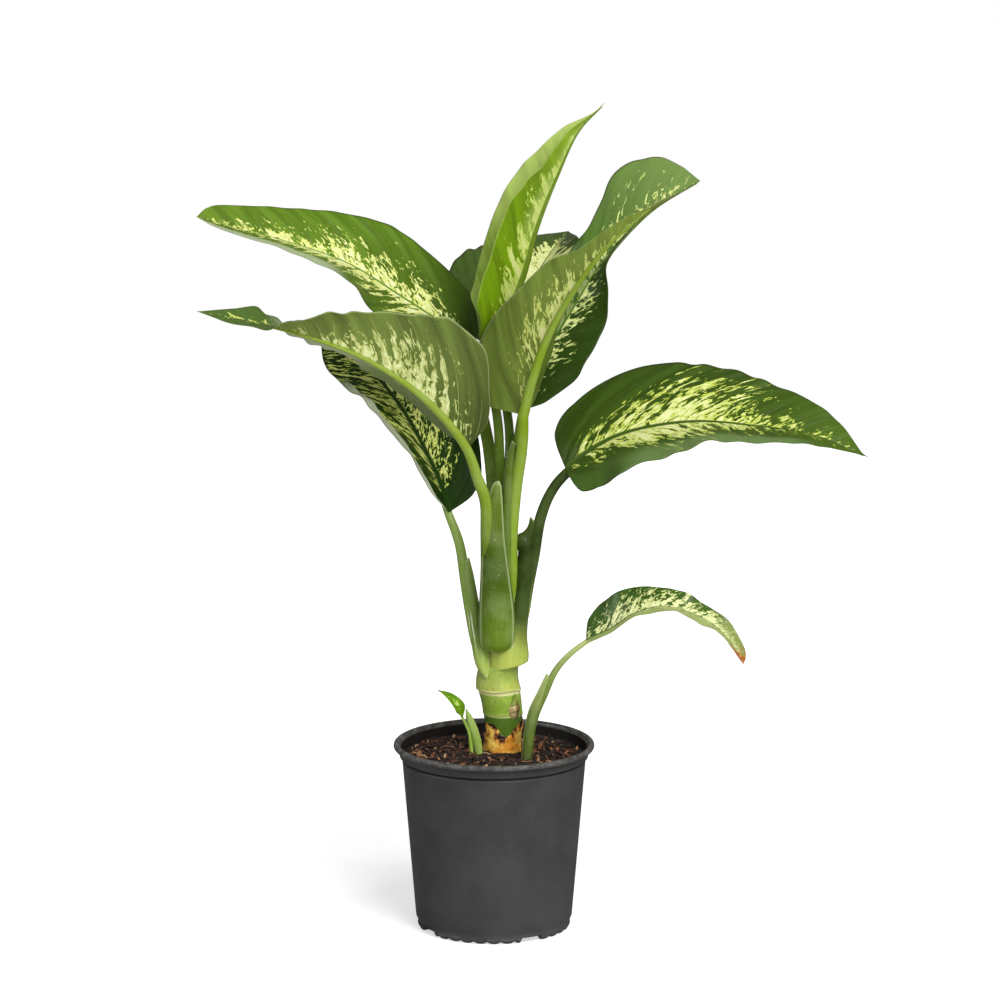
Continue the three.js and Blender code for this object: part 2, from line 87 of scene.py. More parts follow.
# Height, size and seed of each size of lump.
SOIL_LUMPS = ((3.2, 13.0, 11), (2.2, 5.0, 12), (1.3, 2.1, 13))

# Leaf blades, in millimetres where they are lengths.
BLADE_CURL = math.radians(-8)
BLADE_END_WIDTH = 0.5
BLADE_BACK_SWEEP = 0.12
BLADE_BACK_REACH = 0.1
BLADE_THICKNESS = 0.9
BLADE_EDGE_THICKNESS = 0.5
THIN_BELOW = 10.0
SMOOTH_BELOW = 14.0
STATION_CROWDING = 0.11
COLUMN_CROWDING = 1.3
RIB_HALF_WIDTH = 1.7
RIB_SINK = 0.2
RIB_TIP_SHARE = 0.2
GROOVE_DEPTH = 0.6
VEIN_ANGLE = math.radians(50)
VEIN_BEND = 0.006
MAIN_VEIN_SPACING = 14.0
VEIN_RIDGE_SHARE = 0.16
VEIN_RELIEF = 0.14
VEIN_WANDER = 11.0
VEIN_WANDER_SIZE = 30.0
RELIEF_START = 8.0
RELIEF_END_SHARE = 1 / 6
FOLD_SPACING = 34.0
FOLD_PATCH = 60.0
# Waves along each half (count and phase), and the frill on the margin (count and share of a wave).
RIGHT_WAVES = (3.5, 0.37)
LEFT_WAVES = (4.0, 0.06)
FRILLS = 9.5
FRILL_SHARE = 0.35
LEAF_SHADE = 0.62
STRIP_FADE = 0.12

# Each leaf is its midrib's route, the way its upper face looks at stations along it, and for each half
# the stations (share of length, width, rise out of the face in degrees). The routes are those of the part's
# source, and the widths are fitted more closely to the photograph. Wave is the height of the waves at the
# margin, sweep how far the base reaches back, and rib_scale the size of the midrib and of the relief.
LEAVES = {
    "leaf_upper_left": dict(
        midrib=[(-17, 40, 490), (-38, 36, 509), (-79, 26, 539), (-121, 14, 568), (-168, -4, 589),
                (-211, -22, 604), (-246, -36, 617)],
        face=[(0, 0.1, -0.45, 0.88), (1, 0, -0.45, 0.88)],
        left=[(0, 0, 20), (0.06, 34, 20), (0.2, 48, 12), (0.38, 50, 10), (0.5, 46, 18), (0.7, 32, 22),
              (0.88, 20, 22), (0.96, 13, 22), (1, 0, 22)],
        right=[(0, 0, 25), (0.06, 34, 25), (0.2, 50, 25), (0.38, 56, 25), (0.5, 48, 25), (0.7, 34, 25),
               (0.85, 24, 25), (0.93, 18, 25), (0.97, 11, 25), (1, 0, 25)],
        wave=0.5),
    "leaf_left": dict(
        midrib=[(-12, -22, 394), (-23, -32, 425), (-57, -50, 468), (-103, -72, 504), (-151, -90, 527),
                (-200, -104, 542), (-243, -112, 552)],
        face=[(0, 0.15, 0.75, 0.6), (0.45, 0.1, 0.75, 0.6), (0.7, 0, 0.4, 0.85), (0.85, 0, -0.3, 1),
              (1, 0, -0.35, 1)],
        left=[(0, 0, 35), (0.09, 0, 35), (0.13, 24, 35), (0.2, 43, 35), (0.29, 64, 35), (0.38, 66, 35),
              (0.48, 51, 35), (0.6, 34, 38), (0.72, 28, 25), (0.85, 20, 15), (1, 0, 10)],
        right=[(0, 0, 45), (0.09, 0, 45), (0.13, 34, 42), (0.2, 54, 41), (0.29, 64, 41), (0.48, 54, 40),
               (0.6, 36, 28), (0.7, 28, 18), (0.85, 18, 15), (1, 0, 15)],
        wave=1.0),
    "leaf_lower_left": dict(
        midrib=[(-38, 34, 351), (-47, 44, 376), (-58, 54, 398), (-73, 66, 425), (-90, 80, 447),
                (-112, 96, 469), (-133, 110, 487), (-147, 118, 496)],
        face=[(0, 0.1, -0.8, 0.5), (1, 0.1, -0.8, 0.5)],
        left=[(0, 0, 60), (0.1, 24, 60), (0.25, 36, 60), (0.4, 40, 52), (0.6, 38, 40), (0.8, 32, 20),
              (0.92, 18, 10), (1, 0, 0)],
        right=[(0, 0, 15), (0.05, 24, 15), (0.13, 38, 15), (0.3, 48, 15), (0.6, 38, 15), (0.8, 20, 15),
               (0.92, 10, 10), (1, 0, 0)],
        wave=1.0),
    "leaf_young": dict(
        midrib=[(-12, 4, 504), (5, 6, 521), (21, 8, 556), (34, 10, 600), (51, 12, 642), (70, 13, 681),
                (92, 14, 704)],
        face=[(0, -0.8, -0.35, 0.4), (1, -0.7, -0.4, 0.5)],
        left=[(0, 0, 45), (0.15, 36, 45), (0.35, 40, 45), (0.5, 38, 45), (0.65, 32, 45), (0.75, 22, 45),
              (0.84, 13, 40), (0.91, 4, 35), (0.95, 1, 35), (1, 0, 35)],
        right=[(0, 0, 78), (0.15, 34, 80), (0.35, 38, 80), (0.5, 36, 80), (0.62, 28, 80), (0.72, 18, 78),
               (0.84, 10, 72), (0.91, 4, 65), (0.95, 1, 60), (1, 0, 60)],
        wave=0.6),
    "leaf_front": dict(
        midrib=[(26, -24, 447), (34, -32, 481), (47, -42, 520), (68, -56, 561), (93, -72, 598),
                (130, -88, 635)],
        face=[(0, 0.4, 0.8, 0.3), (1, 0.4, 0.8, 0.4)],
        left=[(0, 0, 100), (0.06, 30, 100), (0.2, 44, 100), (0.4, 44, 100), (0.6, 34, 100), (0.8, 18, 100),
              (1, 0, 100)],
        right=[(0, 0, 15), (0.02, 42, 15), (0.08, 54, 15), (0.2, 58, 15), (0.28, 54, 15), (0.4, 43, 15),
               (0.57, 32, 15), (0.68, 17, 20), (0.8, 11, 20), (0.9, 7, 20), (1, 0, 20)],
        wave=0.7, sweep=0.36),
    "leaf_upper_right": dict(
        midrib=[(24, 22, 442), (41, 34, 483), (66, 48, 523), (94, 62, 565), (132, 74, 603), (174, 82, 627)],
        face=[(0, 0, -0.85, 0.5), (0.4, 0.1, -0.85, 0.5), (0.7, -0.5, -0.6, 0.6), (1, -0.6, -0.5, 0.6)],
        left=[(0, 0, 15), (0.08, 34, 15), (0.2, 38, 15), (0.35, 32, 15), (0.5, 27, 15), (0.6, 29, 15),
              (0.72, 42, 15), (0.83, 57, 12), (0.93, 48, 10), (0.98, 26, 5), (1, 0, 0)],
        right=[(0, 0, 20), (0.06, 18, 20), (0.2, 36, 20), (0.3, 36, 22), (0.4, 33, 30), (0.5, 24, 40),
               (0.6, 14, 50), (0.85, 10, 50), (0.95, 7, 40), (1, 0, 30)],
        wave=1.5),
    "leaf_back": dict(
        midrib=[(2, 60, 484), (14, 84, 506), (26, 112, 523), (40, 144, 541), (53, 176, 554), (64, 204, 562)],
        face=[(0, -0.1, -0.6, 0.8), (1, -0.1, -0.3, 0.95)],
        left=[(0, 0, 15), (0.1, 40, 15), (0.3, 66, 15), (0.45, 70, 15), (0.66, 56, 15), (0.85, 28, 15),
              (1, 0, 10)],
        right=[(0, 0, 30), (0.1, 40, 30), (0.3, 52, 30), (0.5, 50, 30), (0.7, 38, 30), (0.85, 20, 30),
               (1, 0, 25)],
        wave=1.5),
    "leaf_right": dict(
        midrib=[(60, -4, 397), (84, -8, 416), (111, -14, 430), (165, -28, 442), (219, -42, 441),
                (265, -54, 436), (310, -64, 420)],
        face=[(0, -0.1, -0.5, 0.87), (1, 0.05, -0.5, 0.87)],
        left=[(0, 0, 12), (0.05, 40, 12), (0.11, 55, 12), (0.23, 67, 12), (0.33, 69, 12), (0.44, 64, 12),
              (0.65, 49, 12), (0.8, 33, 12), (0.9, 18, 12), (0.95, 8, 12), (0.98, 2, 12), (1, 0, 12)],
        right=[(0, 0, 5), (0.05, 37, 5), (0.11, 48, 5), (0.23, 60, 12), (0.44, 58, 19), (0.55, 50, 27),
               (0.65, 43, 27), (0.83, 25, 27), (0.95, 5, 27), (1, 0, 27)],
        wave=0.5, sweep=0.3),
    "leaf_low": dict(
        midrib=[(77, -42, 259), (97, -46, 269), (117, -50, 283), (139, -54, 290), (161, -58, 287),
                (184, -62, 276), (201, -66, 258), (208, -68, 244)],
        face=[(0, -0.1, -0.55, 0.83), (1, 0.6, -0.5, 0.6)],
        left=[(0, 0, 15), (0.05, 18, 15), (0.15, 27, 15), (0.31, 24, 15), (0.46, 19, 15), (0.61, 15, 15),
              (0.78, 12, 15), (0.93, 9, 15), (0.98, 5, 15), (1, 0, 15)],
        right=[(0, 0, 30), (0.05, 6, 30), (0.15, 8, 32), (0.31, 8, 32), (0.46, 11, 32), (0.61, 14, 32),
               (0.78, 14, 32), (0.93, 7, 30), (1, 0, 30)],
        wave=1.2, rib_scale=0.6),
    "shoot_leaf": dict(
        midrib=[(-26, -18, 186), (-30, -20, 196), (-38, -22, 205), (-47, -24, 211)],
        face=[(0, 0.1, -0.55, 0.83), (1, 0.1, -0.55, 0.83)],
        left=[(0, 0, 10), (0.3, 6, 10), (0.6, 4.5, 10), (1, 0, 10)],
        right=[(0, 0, 20), (0.3, 6, 20), (0.6, 4.5, 20), (1, 0, 20)],
        wave=0.0, rib_scale=0.35, stations=40, half_columns=10),
}
LEAF_DEFAULTS = dict(sweep=BLADE_BACK_SWEEP, rib_scale=1.0, stations=220, half_columns=26)


def monotone(keys, shares):
    """Cubic pieces through the keys (share, value, ...), with harmonic-mean slopes so nothing overshoots."""
    keys = np.asarray(keys, float)
    shares = np.asarray(shares, float)
    knots, values = keys[:, 0], keys[:, 1:]
    secants = np.diff(values, axis=0) / np.diff(knots)[:, None]
    slopes = np.zeros_like(values)
    slopes[0], slopes[-1] = secants[0], secants[-1]
    before, after = secants[:-1], secants[1:]
    agree = before * after > 0
    slopes[1:-1] = np.where(agree, 2 * before * after / np.where(agree, before + after, 1), 0)
    piece = np.clip(np.searchsorted(knots, shares, side="right") - 1, 0, len(knots) - 2)
    span = (knots[piece + 1] - knots[piece])[:, None]
    t = (shares - knots[piece])[:, None] / span
    rise = t * t * (3 - 2 * t)
    leave = t * (1 - t) ** 2 * span * slopes[piece]
    arrive = t * t * (t - 1) * span * slopes[piece + 1]
    return values[piece] + (values[piece + 1] - values[piece]) * rise + leave + arrive


def even_keys(values):
    """Keys that give the values at even steps of the share."""
    return [(i / (len(values) - 1), value) for i, value in enumerate(values)]


def route(points, shares):
    """A centripetal Catmull-Rom curve through points, at shares of its length, and that length.

    Numbers that follow a point's three coordinates, such as a radius, are carried along with it.
    """
    points = np.asarray(points, float)
    ends = np.vstack([2 * points[0] - points[1], points, 2 * points[-1] - points[-2]])
    knots = np.concatenate([[0], np.cumsum(np.linalg.norm(np.diff(ends[:, :3], axis=0), axis=1) ** 0.5)])
    fine = np.linspace(knots[1], knots[-2], 4000)
    k = np.clip(np.searchsorted(knots, fine, side="right") - 1, 1, len(ends) - 3)
    p = [ends[k + i] for i in (-1, 0, 1, 2)]
    t = [knots[k + i][:, None] for i in (-1, 0, 1, 2)]
    x = fine[:, None]
    first = [((t[i + 1] - x) * p[i] + (x - t[i]) * p[i + 1]) / (t[i + 1] - t[i]) for i in range(3)]
    second = [((t[i + 2] - x) * first[i] + (x - t[i]) * first[i + 1]) / (t[i + 2] - t[i]) for i in range(2)]
    curve = ((t[2] - x) * second[0] + (x - t[1]) * second[1]) / (t[2] - t[1])
    reach = np.concatenate([[0], np.cumsum(np.linalg.norm(np.diff(curve[:, :3], axis=0), axis=1))])
    placed_at = [np.interp(np.asarray(shares) * reach[-1], reach, column) for column in curve.T]
    return np.stack(placed_at, axis=-1), reach[-1]


def unit(vectors):
    """The vectors at length one."""
    return vectors / np.maximum(np.linalg.norm(vectors, axis=-1, keepdims=True), 1e-9)


def bearings(count):
    """Angles evenly spaced round a full turn."""
    return np.linspace(0, 2 * np.pi, count, endpoint=False)


def spokes(turn):
    """Level directions at the angles, anticlockwise seen from above."""
    return np.stack([np.cos(turn), np.sin(turn), np.zeros_like(turn)], axis=-1)


def off_bearing(turn, bearing):
    """How far each angle lies from the bearing, the short way round."""
    return np.abs(np.angle(np.exp(1j * (turn - bearing))))


def bell(distance, reach):
    """A bell curve: the exponential of minus the square of the distance over the reach."""
    return np.exp(-(distance / reach) ** 2)


def hashed(cells, seed):
    """A number from 0 to 1 for each whole-number cell, always the same for one seed."""
    mixed = cells @ np.array([127.1, 311.7, 74.7]) + seed * 19.19
    return np.modf(np.abs(np.sin(mixed) * 43758.5453))[0]


def value_noise(points, size, seed=0):
    """Smooth noise from 0 to 1: hashed values at the corners of cells of that size, eased between them."""
    scaled = points / size
    cell = np.floor(scaled)
    part = scaled - cell
    ease = part * part * (3 - 2 * part)
    total = np.zeros(points.shape[:-1])
    for corner in np.ndindex(2, 2, 2):
        offset = np.array(corner, float)
        weight = np.prod(np.where(offset > 0, ease, 1 - ease), axis=-1)
        total += weight * hashed(cell + offset, seed)
    return total


def lumps(points, height, size, seed):
    """Noise of that height and size about zero."""
    return height * (value_noise(points, size, seed) - 0.5)


def grid_quads(rows, columns, start=0, wrap=False):
    """Quads that join neighbouring points of a grid, across its last column too if it wraps."""
    index = start + np.arange(rows * columns).reshape(rows, columns)
    if wrap:
        index = np.concatenate([index, index[:, :1]], axis=1)
    return np.stack([index[:-1, :-1], index[1:, :-1], index[1:, 1:], index[:-1, 1:]], axis=-1).reshape(-1, 4)


def tube_faces(rings, around, start=0, reverse=False):
    """Faces of a tube of rings, with one face at each end.

    They point outward if the rings turn anticlockwise seen from above and run down. Reverse is for rings
    that turn the other way, or run up.
    """
    quads = grid_quads(rings, around, start, wrap=True)
    first = start + np.arange(around)
    last = first + (rings - 1) * around
    return [quads[:, ::-1], [last, first[::-1]]] if reverse else [quads, [first, last[::-1]]]


def add_piece(name, points, faces, material, replaced=(), uvs=None, values=None):
    """A smooth mesh of points in millimetres, riding on the body, from blocks of faces.

    The points may stand in a grid. UV maps and attributes hold their numbers by point.
    """
    mesh = bpy.data.meshes.new(name)
    places = np.asarray(points).reshape(-1, 3) * MM
    mesh.from_pydata(places.tolist(), [], [face for block in faces for face in np.asarray(block).tolist()])
    corners = np.empty(len(mesh.loops), dtype=np.int32)
    mesh.loops.foreach_get("vertex_index", corners)
    for title, pairs in (uvs or {}).items():
        layer = mesh.uv_layers.new(name=title)
        layer.data.foreach_set("uv", np.asarray(pairs, np.float32)[corners].ravel())
    for title, numbers in (values or {}).items():
        attribute_data = mesh.attributes.new(title, "FLOAT", "POINT").data
        attribute_data.foreach_set("value", np.asarray(numbers, np.float32).ravel())
    mesh.polygons.foreach_set("use_smooth", np.ones(len(mesh.polygons), dtype=bool))
    mesh.materials.append(material)
    piece = bpy.data.objects.new(name, mesh)
    bpy.context.scene.collection.objects.link(piece)
    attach(piece, BODY)
    if replaced:
        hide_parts(*replaced)
    return piece


# Node helpers.

class Term:
    """An output in a node tree. Arithmetic on it makes Math nodes."""

    def __init__(self, socket):
        """Keeps the output and the tree that it stands in."""
        self.socket = socket
        self.tree = socket.id_data

    def math(self, operation, *others):
        """A Math node's result for this number and the others."""
        return term(self.tree, "ShaderNodeMath", dict(enumerate((self, *others))), operation=operation)

    def __add__(self, other):
        """The sum."""
        return self.math("ADD", other)

    def __sub__(self, other):
        """The difference."""
        return self.math("SUBTRACT", other)

    def __rsub__(self, other):
        """The difference, taken from a plain number."""
        return term(self.tree, "ShaderNodeMath", {0: other, 1: self}, operation="SUBTRACT")

    def __mul__(self, other):
        """The product."""
        return self.math("MULTIPLY", other)

    def __truediv__(self, other):
        """The quotient."""
        return self.math("DIVIDE", other)

    def __abs__(self):
        """The size without its sign."""
        return self.math("ABSOLUTE")


def set_input(socket, value):
    """A socket linked to a term, or set to a value."""
    if isinstance(value, Term):
        value.tree.links.new(value.socket, socket)
    else:
        socket.default_value = value


def node(tree, kind, inputs=None, **settings):
    """A node with its settings and its inputs."""
    made = tree.nodes.new(kind)
    for key, value in settings.items():
        setattr(made, key, value)
    for key, value in (inputs or {}).items():
        set_input(made.inputs[key], value)
    return made


def term(tree, kind, inputs=None, output=0, **settings):
    """One output of a new node."""
    return Term(node(tree, kind, inputs, **settings).outputs[output])


def srgb(code):
    """A surface's own linear colour, from the hex code that it has on screen in the studio's light."""
    parts = [((code >> shift) & 255) / 255 for shift in (16, 8, 0)]
    linear = [c / 12.92 if c <= 0.04045 else ((c + 0.055) / 1.055) ** 2.4 for c in parts]
    return [c / STUDIO_LIGHT for c in linear] + [1.0]


def darker(colour, share):
    """A share of a linear colour."""
    return [c * share for c in colour[:3]] + [1.0]


def blend(factor, low, high):
    """A colour between low and high, each a term, a linear colour or a hex code."""
    low, high = (srgb(tone) if isinstance(tone, int) else tone for tone in (low, high))
    return term(factor.tree, "ShaderNodeMix", {0: factor, 6: low, 7: high}, 2, data_type="RGBA")


def blend_value(factor, low, high):
    """A number between low and high."""
    return term(factor.tree, "ShaderNodeMix", {0: factor, 2: low, 3: high}, data_type="FLOAT")


def remap(value, low, high, to_low=0.0, to_high=1.0, smooth=True):
    """The value moved from one range to another, eased at both ends if smooth, and kept inside it."""
    kind = "SMOOTHSTEP" if smooth else "LINEAR"
    inputs = {0: value, 1: low, 2: high, 3: to_low, 4: to_high}
    return term(value.tree, "ShaderNodeMapRange", inputs, interpolation_type=kind)


def noise(vector, scale, detail=2.0, roughness=0.5, distortion=0.0):
    """A Noise Texture's value."""
    inputs = {"Vector": vector, "Scale": scale, "Detail": detail, "Roughness": roughness,
              "Distortion": distortion}
    return term(vector.tree, "ShaderNodeTexNoise", inputs)


def combine(x, y, z):
    """A vector from three numbers."""
    return term(x.tree, "ShaderNodeCombineXYZ", {0: x, 1: y, 2: z})


def separate(vector):
    """The three numbers of a vector."""
    return [Term(socket) for socket in node(vector.tree, "ShaderNodeSeparateXYZ", {0: vector}).outputs]


def attribute(tree, name):
    """A number that the piece holds at each point."""
    return term(tree, "ShaderNodeAttribute", output="Fac", attribute_name=name)


def uv_map(tree, name):
    """The piece's own map of that name."""
    return term(tree, "ShaderNodeUVMap", uv_map=name)


def object_coords(tree):
    """Object coordinates, in metres."""
    return term(tree, "ShaderNodeTexCoord", output="Object")


def new_group(name, vectors, numbers, results):
    """An empty node group, its inputs as terms by name, and the sockets of its results."""
    group = bpy.data.node_groups.new(name, "ShaderNodeTree")
    for titles, way, kind in ((vectors, "INPUT", "Vector"), (numbers, "INPUT", "Float"),
                              (results, "OUTPUT", "Float")):
        for title in titles:
            group.interface.new_socket(name=title, in_out=way, socket_type="NodeSocket" + kind)
    given = {socket.name: Term(socket) for socket in group.nodes.new("NodeGroupInput").outputs}
    return group, given, group.nodes.new("NodeGroupOutput").inputs


def placed(tree, group, inputs):
    """The results, by name, of a group placed in a material."""
    made = node(tree, "ShaderNodeGroup", node_tree=group)
    for title, value in inputs.items():
        set_input(made.inputs[title], value)
    return {socket.name: Term(socket) for socket in made.outputs}


def new_material(name):
    """A material with an empty tree, and its Principled shader."""
    material = bpy.data.materials.new(name)
    material.use_nodes = True
    return material, material.node_tree, material.node_tree.nodes["Principled BSDF"]


def finish_surface(shader, colour, roughness, height, strength, distance, specular=0.5):
    """A shader's colour, roughness and specular level, and a height that tilts its normal.

    The height raises the surface by up to distance, in metres, times strength.
    """
    bump_inputs = {"Height": height, "Strength": strength, "Distance": distance}
    set_input(shader.inputs["Base Color"], colour)
    set_input(shader.inputs["Roughness"], roughness)
    set_input(shader.inputs["Specular IOR Level"], specular)
    set_input(shader.inputs["Normal"], term(shader.id_data, "ShaderNodeBump", bump_inputs))


def variegation_group():
    """Masks for cream fingers that feather out along the side veins.

    A finger's reach, as a share of the half blade's width, rises from the first share of the length, falls
    to nothing at the last, and varies from vein to vein. The depth inside a finger, roughened by two noises
    stretched along the veins, gives solid cream, its paler heart, and a light green fringe.
    """
    group, given, result = new_group(
        "variegation", ["Vein", "Unit"],
        ["Length", "First", "Last", "Reach Left", "Reach Right", "Blobs Left", "Blobs Right", "Slope",
         "Rough", "Fill", "Ribbed", "Seed"],
        ["Cream", "Heart", "Fringe", "Shade", "Main Veins", "Fine Veins"])
    across, along, _ = separate(given["Vein"])
    lateral = separate(given["Unit"])[1]
    side = lateral.math("GREATER_THAN", 0.0)
    seed = given["Seed"] + side * 7.3
    bent = across + (noise(combine(across, along, seed), 1.4, 2.0) - 0.5) * 0.55
    blobs = blend_value(side, given["Blobs Left"], given["Blobs Right"])

    def stretched(per_cm_across, per_cm_along, detail, distortion=0.0):
        """Noise about zero, stretched along the veins; blobs squeeze it back into rounder spots."""
        vector = combine(bent * per_cm_across, along * per_cm_along * blobs, seed)
        return noise(vector, 1.0, detail, 0.55, distortion) - 0.5

    def off_vein(spacing):
        """The distance from the nearest of the veins at that spacing."""
        return (across + spacing * 60).math("PINGPONG", spacing / 2)

    share = across / given["Length"]
    start = remap(share, given["First"], given["First"] + 0.2, 0.25, 1.0)
    end = remap(share, given["Last"] - 0.5, given["Last"], 1.0, 0.0)
    longest = blend_value(side, given["Reach Left"], given["Reach Right"])
    vein_gap = MAIN_VEIN_SPACING * CM_PER_MM
    pulse = 1.0 - off_vein(vein_gap) * (4 / vein_gap)
    finger = stretched(1.2, 0.0, 1.0) * 3.2 + 0.9 + pulse * given["Ribbed"]
    reach = (start * end) * (longest * finger)
    rough = stretched(1.45, 0.75, 2.0, 1.2) * 2.0 + stretched(4.0, 2.2, 1.0, 0.8) * 0.9
    before = remap(share, given["First"] - 0.06, given["First"], -0.6, 0.0)
    depth = (reach - abs(lateral)) * given["Slope"] + rough * given["Rough"] + given["Fill"] + before
    streak = depth + stretched(8.0, 1.6, 2.0, 0.3) * 1.6
    near = remap(abs(lateral), 0.2, 1.0, 1.0, 0.15) * remap(stretched(0.6, 0.3, 1.0), -0.16, 0.12, 0.1, 1.0)
    # Shade is a soft noise along the veins, from deep to plain green: painted shade of the skin's folds,
    # with blotches in the green.
    masks = {"Cream": remap(depth, -0.01, 0.02), "Heart": remap(streak, 0.0, 0.6),
             "Fringe": remap(depth, -0.09, 0.0), "Shade": remap(stretched(0.9, 0.12, 3.0), -0.2, 0.2),
             "Main Veins": remap(off_vein(vein_gap), 0.0, 0.07, 1.0, 0.0) * near,
             "Fine Veins": remap(off_vein(0.2), 0.0, 0.05, 1.0, 0.0) * near}
    for title, mask in masks.items():
        set_input(result[title], mask)
    return group


def mottle_group():
    """Soft blotches and fine specks of one pattern, for skins and moulded plastic."""
    group, given, result = new_group("mottle", ["Vector"], ["Blotch Scale", "Speck Scale", "Speck Limit"],
                                     ["Blotch", "Speck", "Grain"])
    blotch = noise(given["Vector"], given["Blotch Scale"], 3.0, 0.55)
    speck = noise(given["Vector"], given["Speck Scale"], 1.0)
    set_input(result["Blotch"], remap(blotch, 0.3, 0.7))
    set_input(result["Speck"], remap(speck - given["Speck Limit"], 0.0, 0.04))
    set_input(result["Grain"], noise(given["Vector"], given["Speck Scale"], 3.0, 0.6))
    return group


VARIEGATION = variegation_group()
MOTTLE = mottle_group()


def mottled(place, blotch_scale, speck_scale, speck_limit):
    """The mottle group's masks at that place."""
    return placed(place.tree, MOTTLE, {"Vector": place, "Blotch Scale": blotch_scale,
                                       "Speck Scale": speck_scale, "Speck Limit": speck_limit})


# Leaf finishes: the green, fringe, cream and pale heart of the upper face (top) and of the lower one
# (under); where the cream starts and ends along the leaf; its reach on each half, and how round its blobs
# are there; how fast it thins out sideways and how broken it is; how pale the veins are below, and how far
# the skin folds. Base shade is painted shade towards the leaf's base, and tip sheen a painted sheen in the
# fringe tone towards the tip. Shaded is a half (-1 left, 1 right) and how dark its painted shade is. Each
# sheen and shade strip is a band of another tone, most of them a painted sheen along a curled margin and
# some painted shade on a fold: half, first and last share of the half's width, first and last share of the
# length, tone and strength.
FRESH = (0x8A9A38, 0xB4C260, 0xC9D580, 0xDDE6A8)
LEAF_LOOKS = {
    "leaf_upper_left": dict(
        top=(0x688C20, 0x95AC44, 0xDFE47C, 0xF1F7C2), last=1.02, reach=(0.42, 0.3), blobs=(0.6, 1.5),
        slope=1.1, rough=1.0, fill=-0.05, veins=0.05, fold=0.25, base_shade=0.8, tip_sheen=0.1,
        shaded=(-1, 0.35), sheen_and_shade_strips=((-1, 0.5, 0.75, 0.62, 1.1, 0xB8C69A, 0.9),)),
    "leaf_left": dict(
        top=(0x4A6628, 0x64803A, 0xD0DC6D, 0xE6EEA0), under=(0x7E9242, 0x98A84C, 0xCAD27C, 0xF4F8BC),
        first=0.13, last=0.8, reach=(0.44, 0.4), blobs=(0.9, 0.8), slope=0.9, rough=1.05, fill=-0.04,
        ribbed=0.5, veins=0.8, raised=2.6, fold=1.3, base_shade=0.85, tip_sheen=0.5,
        sheen_and_shade_strips=((1, 0.0, 0.1, 0.1, 0.5, 0x9AB070, 0.35), (1, 0.0, 0.2, 0.5, 0.7, 0xB8C098, 0.8))),
    "leaf_lower_left": dict(
        top=(0x264806, 0x689111, 0xE2F070, 0xFFFFB0), under=(0x9AAC29, 0xA5B43E, 0xC6CF81, 0xDDE6A8),
        first=0.1, last=1.25, reach=(0.85, 0.6), blobs=(0.45, 1.4), slope=0.4, rough=1.2, fill=-0.12,
        ribbed=0.1, fold=0.7, base_shade=0.2, rib_width=2.8, fine=1.35,
        sheen_and_shade_strips=((-1, 0.8, 0.84, 0.0, 0.62, 0xD4DCBC, 1.0),)),
    "leaf_young": dict(
        top=(0xA8C84C, 0xBAD464, 0xCEE490, 0xE4F0BC), under=(0x80A810, 0xA4C838, 0xCEE464, 0xF0F8A0),
        first=0.05, last=0.95, reach=(0.2, 0.45), blobs=(0.5, 0.7), rough=0.9, fill=0.0, fold=0.5,
        tip_sheen=0.9, edge=(0xC8DC96, 0xA8C460), rib=0xB0C860,
        sheen_and_shade_strips=((1, 0.5, 0.1, 0.5, 1.2, 0xC6DA78, 0.5),)),
    "leaf_front": dict(
        top=(0x4A600B, 0x7C9820, 0xC0D05F, 0xE4F09A), under=(0x849A3E, 0x90A43C, 0xD8E474, 0xF8FCB4),
        first=0.03, last=1.0, reach=(0.42, 0.36), blobs=(1.2, 1.3), rough=0.95, fill=-0.07, veins=0.12,
        fold=0.35, tip_sheen=0.4),
    "leaf_upper_right": dict(
        top=(0x527624, 0x84A056, 0xD2E080, 0xF4FAB8), last=1.05, reach=(0.44, 0.34), blobs=(0.7, 0.9),
        slope=0.8, rough=0.95, fill=-0.13, ribbed=0.15, fold=0.5, base_shade=0.6, tip_sheen=0.8,
        shaded=(1, 0.8), sheen_and_shade_strips=((-1, 0.0, 0.05, 0.0, 0.5, 0x304E16, 0.7),)),
    "leaf_back": dict(
        top=(0x50682A, 0x8A9E40, 0xDCE488, 0xFAFFBE), last=1.0, reach=(0.4, 0.66), blobs=(1.0, 0.9),
        rough=0.8, fill=0.02, veins=0.3, fold=0.7),
    "leaf_right": dict(
        top=(0x445E1C, 0x7A9F1A, 0xC5D452, 0xF3F8B4), first=0.05, last=0.84, reach=(0.62, 0.5),
        blobs=(0.9, 0.8), slope=0.85, rough=1.15, fill=-0.08, ribbed=0.2, fold=0.8, tip_sheen=0.2,
        rib_width=2.0,
        sheen_and_shade_strips=((1, 0.35, 0.7, 0.08, 0.3, 0x587630, 0.7), (1, 0.5, 0.8, 0.32, 0.75, 0x7E9A5C, 0.65))),
    "leaf_low": dict(
        top=(0x446820, 0x84984A, 0xCCD484, 0xF0F4BA), under=(0x8A981F, 0xA4B038, 0xCCD683, 0xE0E8B4),
        last=1.3, reach=(0.7, 0.5), blobs=(1.2, 1.2), slope=0.7, rough=1.2, fill=-0.12, fold=0.5,
        base_shade=0.3, tip_sheen=0.3, scorch=True, fine=1.8,
        sheen_and_shade_strips=((1, 0.1, 0.4, 0.0, 1.2, 0xB0C074, 0.85), (-1, 0.0, 0.3, 0.82, 1.3, 0x98A45C, 0.7))),
    "shoot_leaf": dict(
        top=(0x6E9C12, 0x88B424, 0xC8DC72, 0xD8E8A0), under=(0x84A81C, 0xA0BC34, 0xCCDC81, 0xD8E8A0),
        first=0.1, last=0.9, reach=(0.2, 0.2), blobs=(1.0, 1.0), rough=0.8, fill=-0.1, fold=0.2,
        edge=(0xA8C870, 0xA8C870)),
}
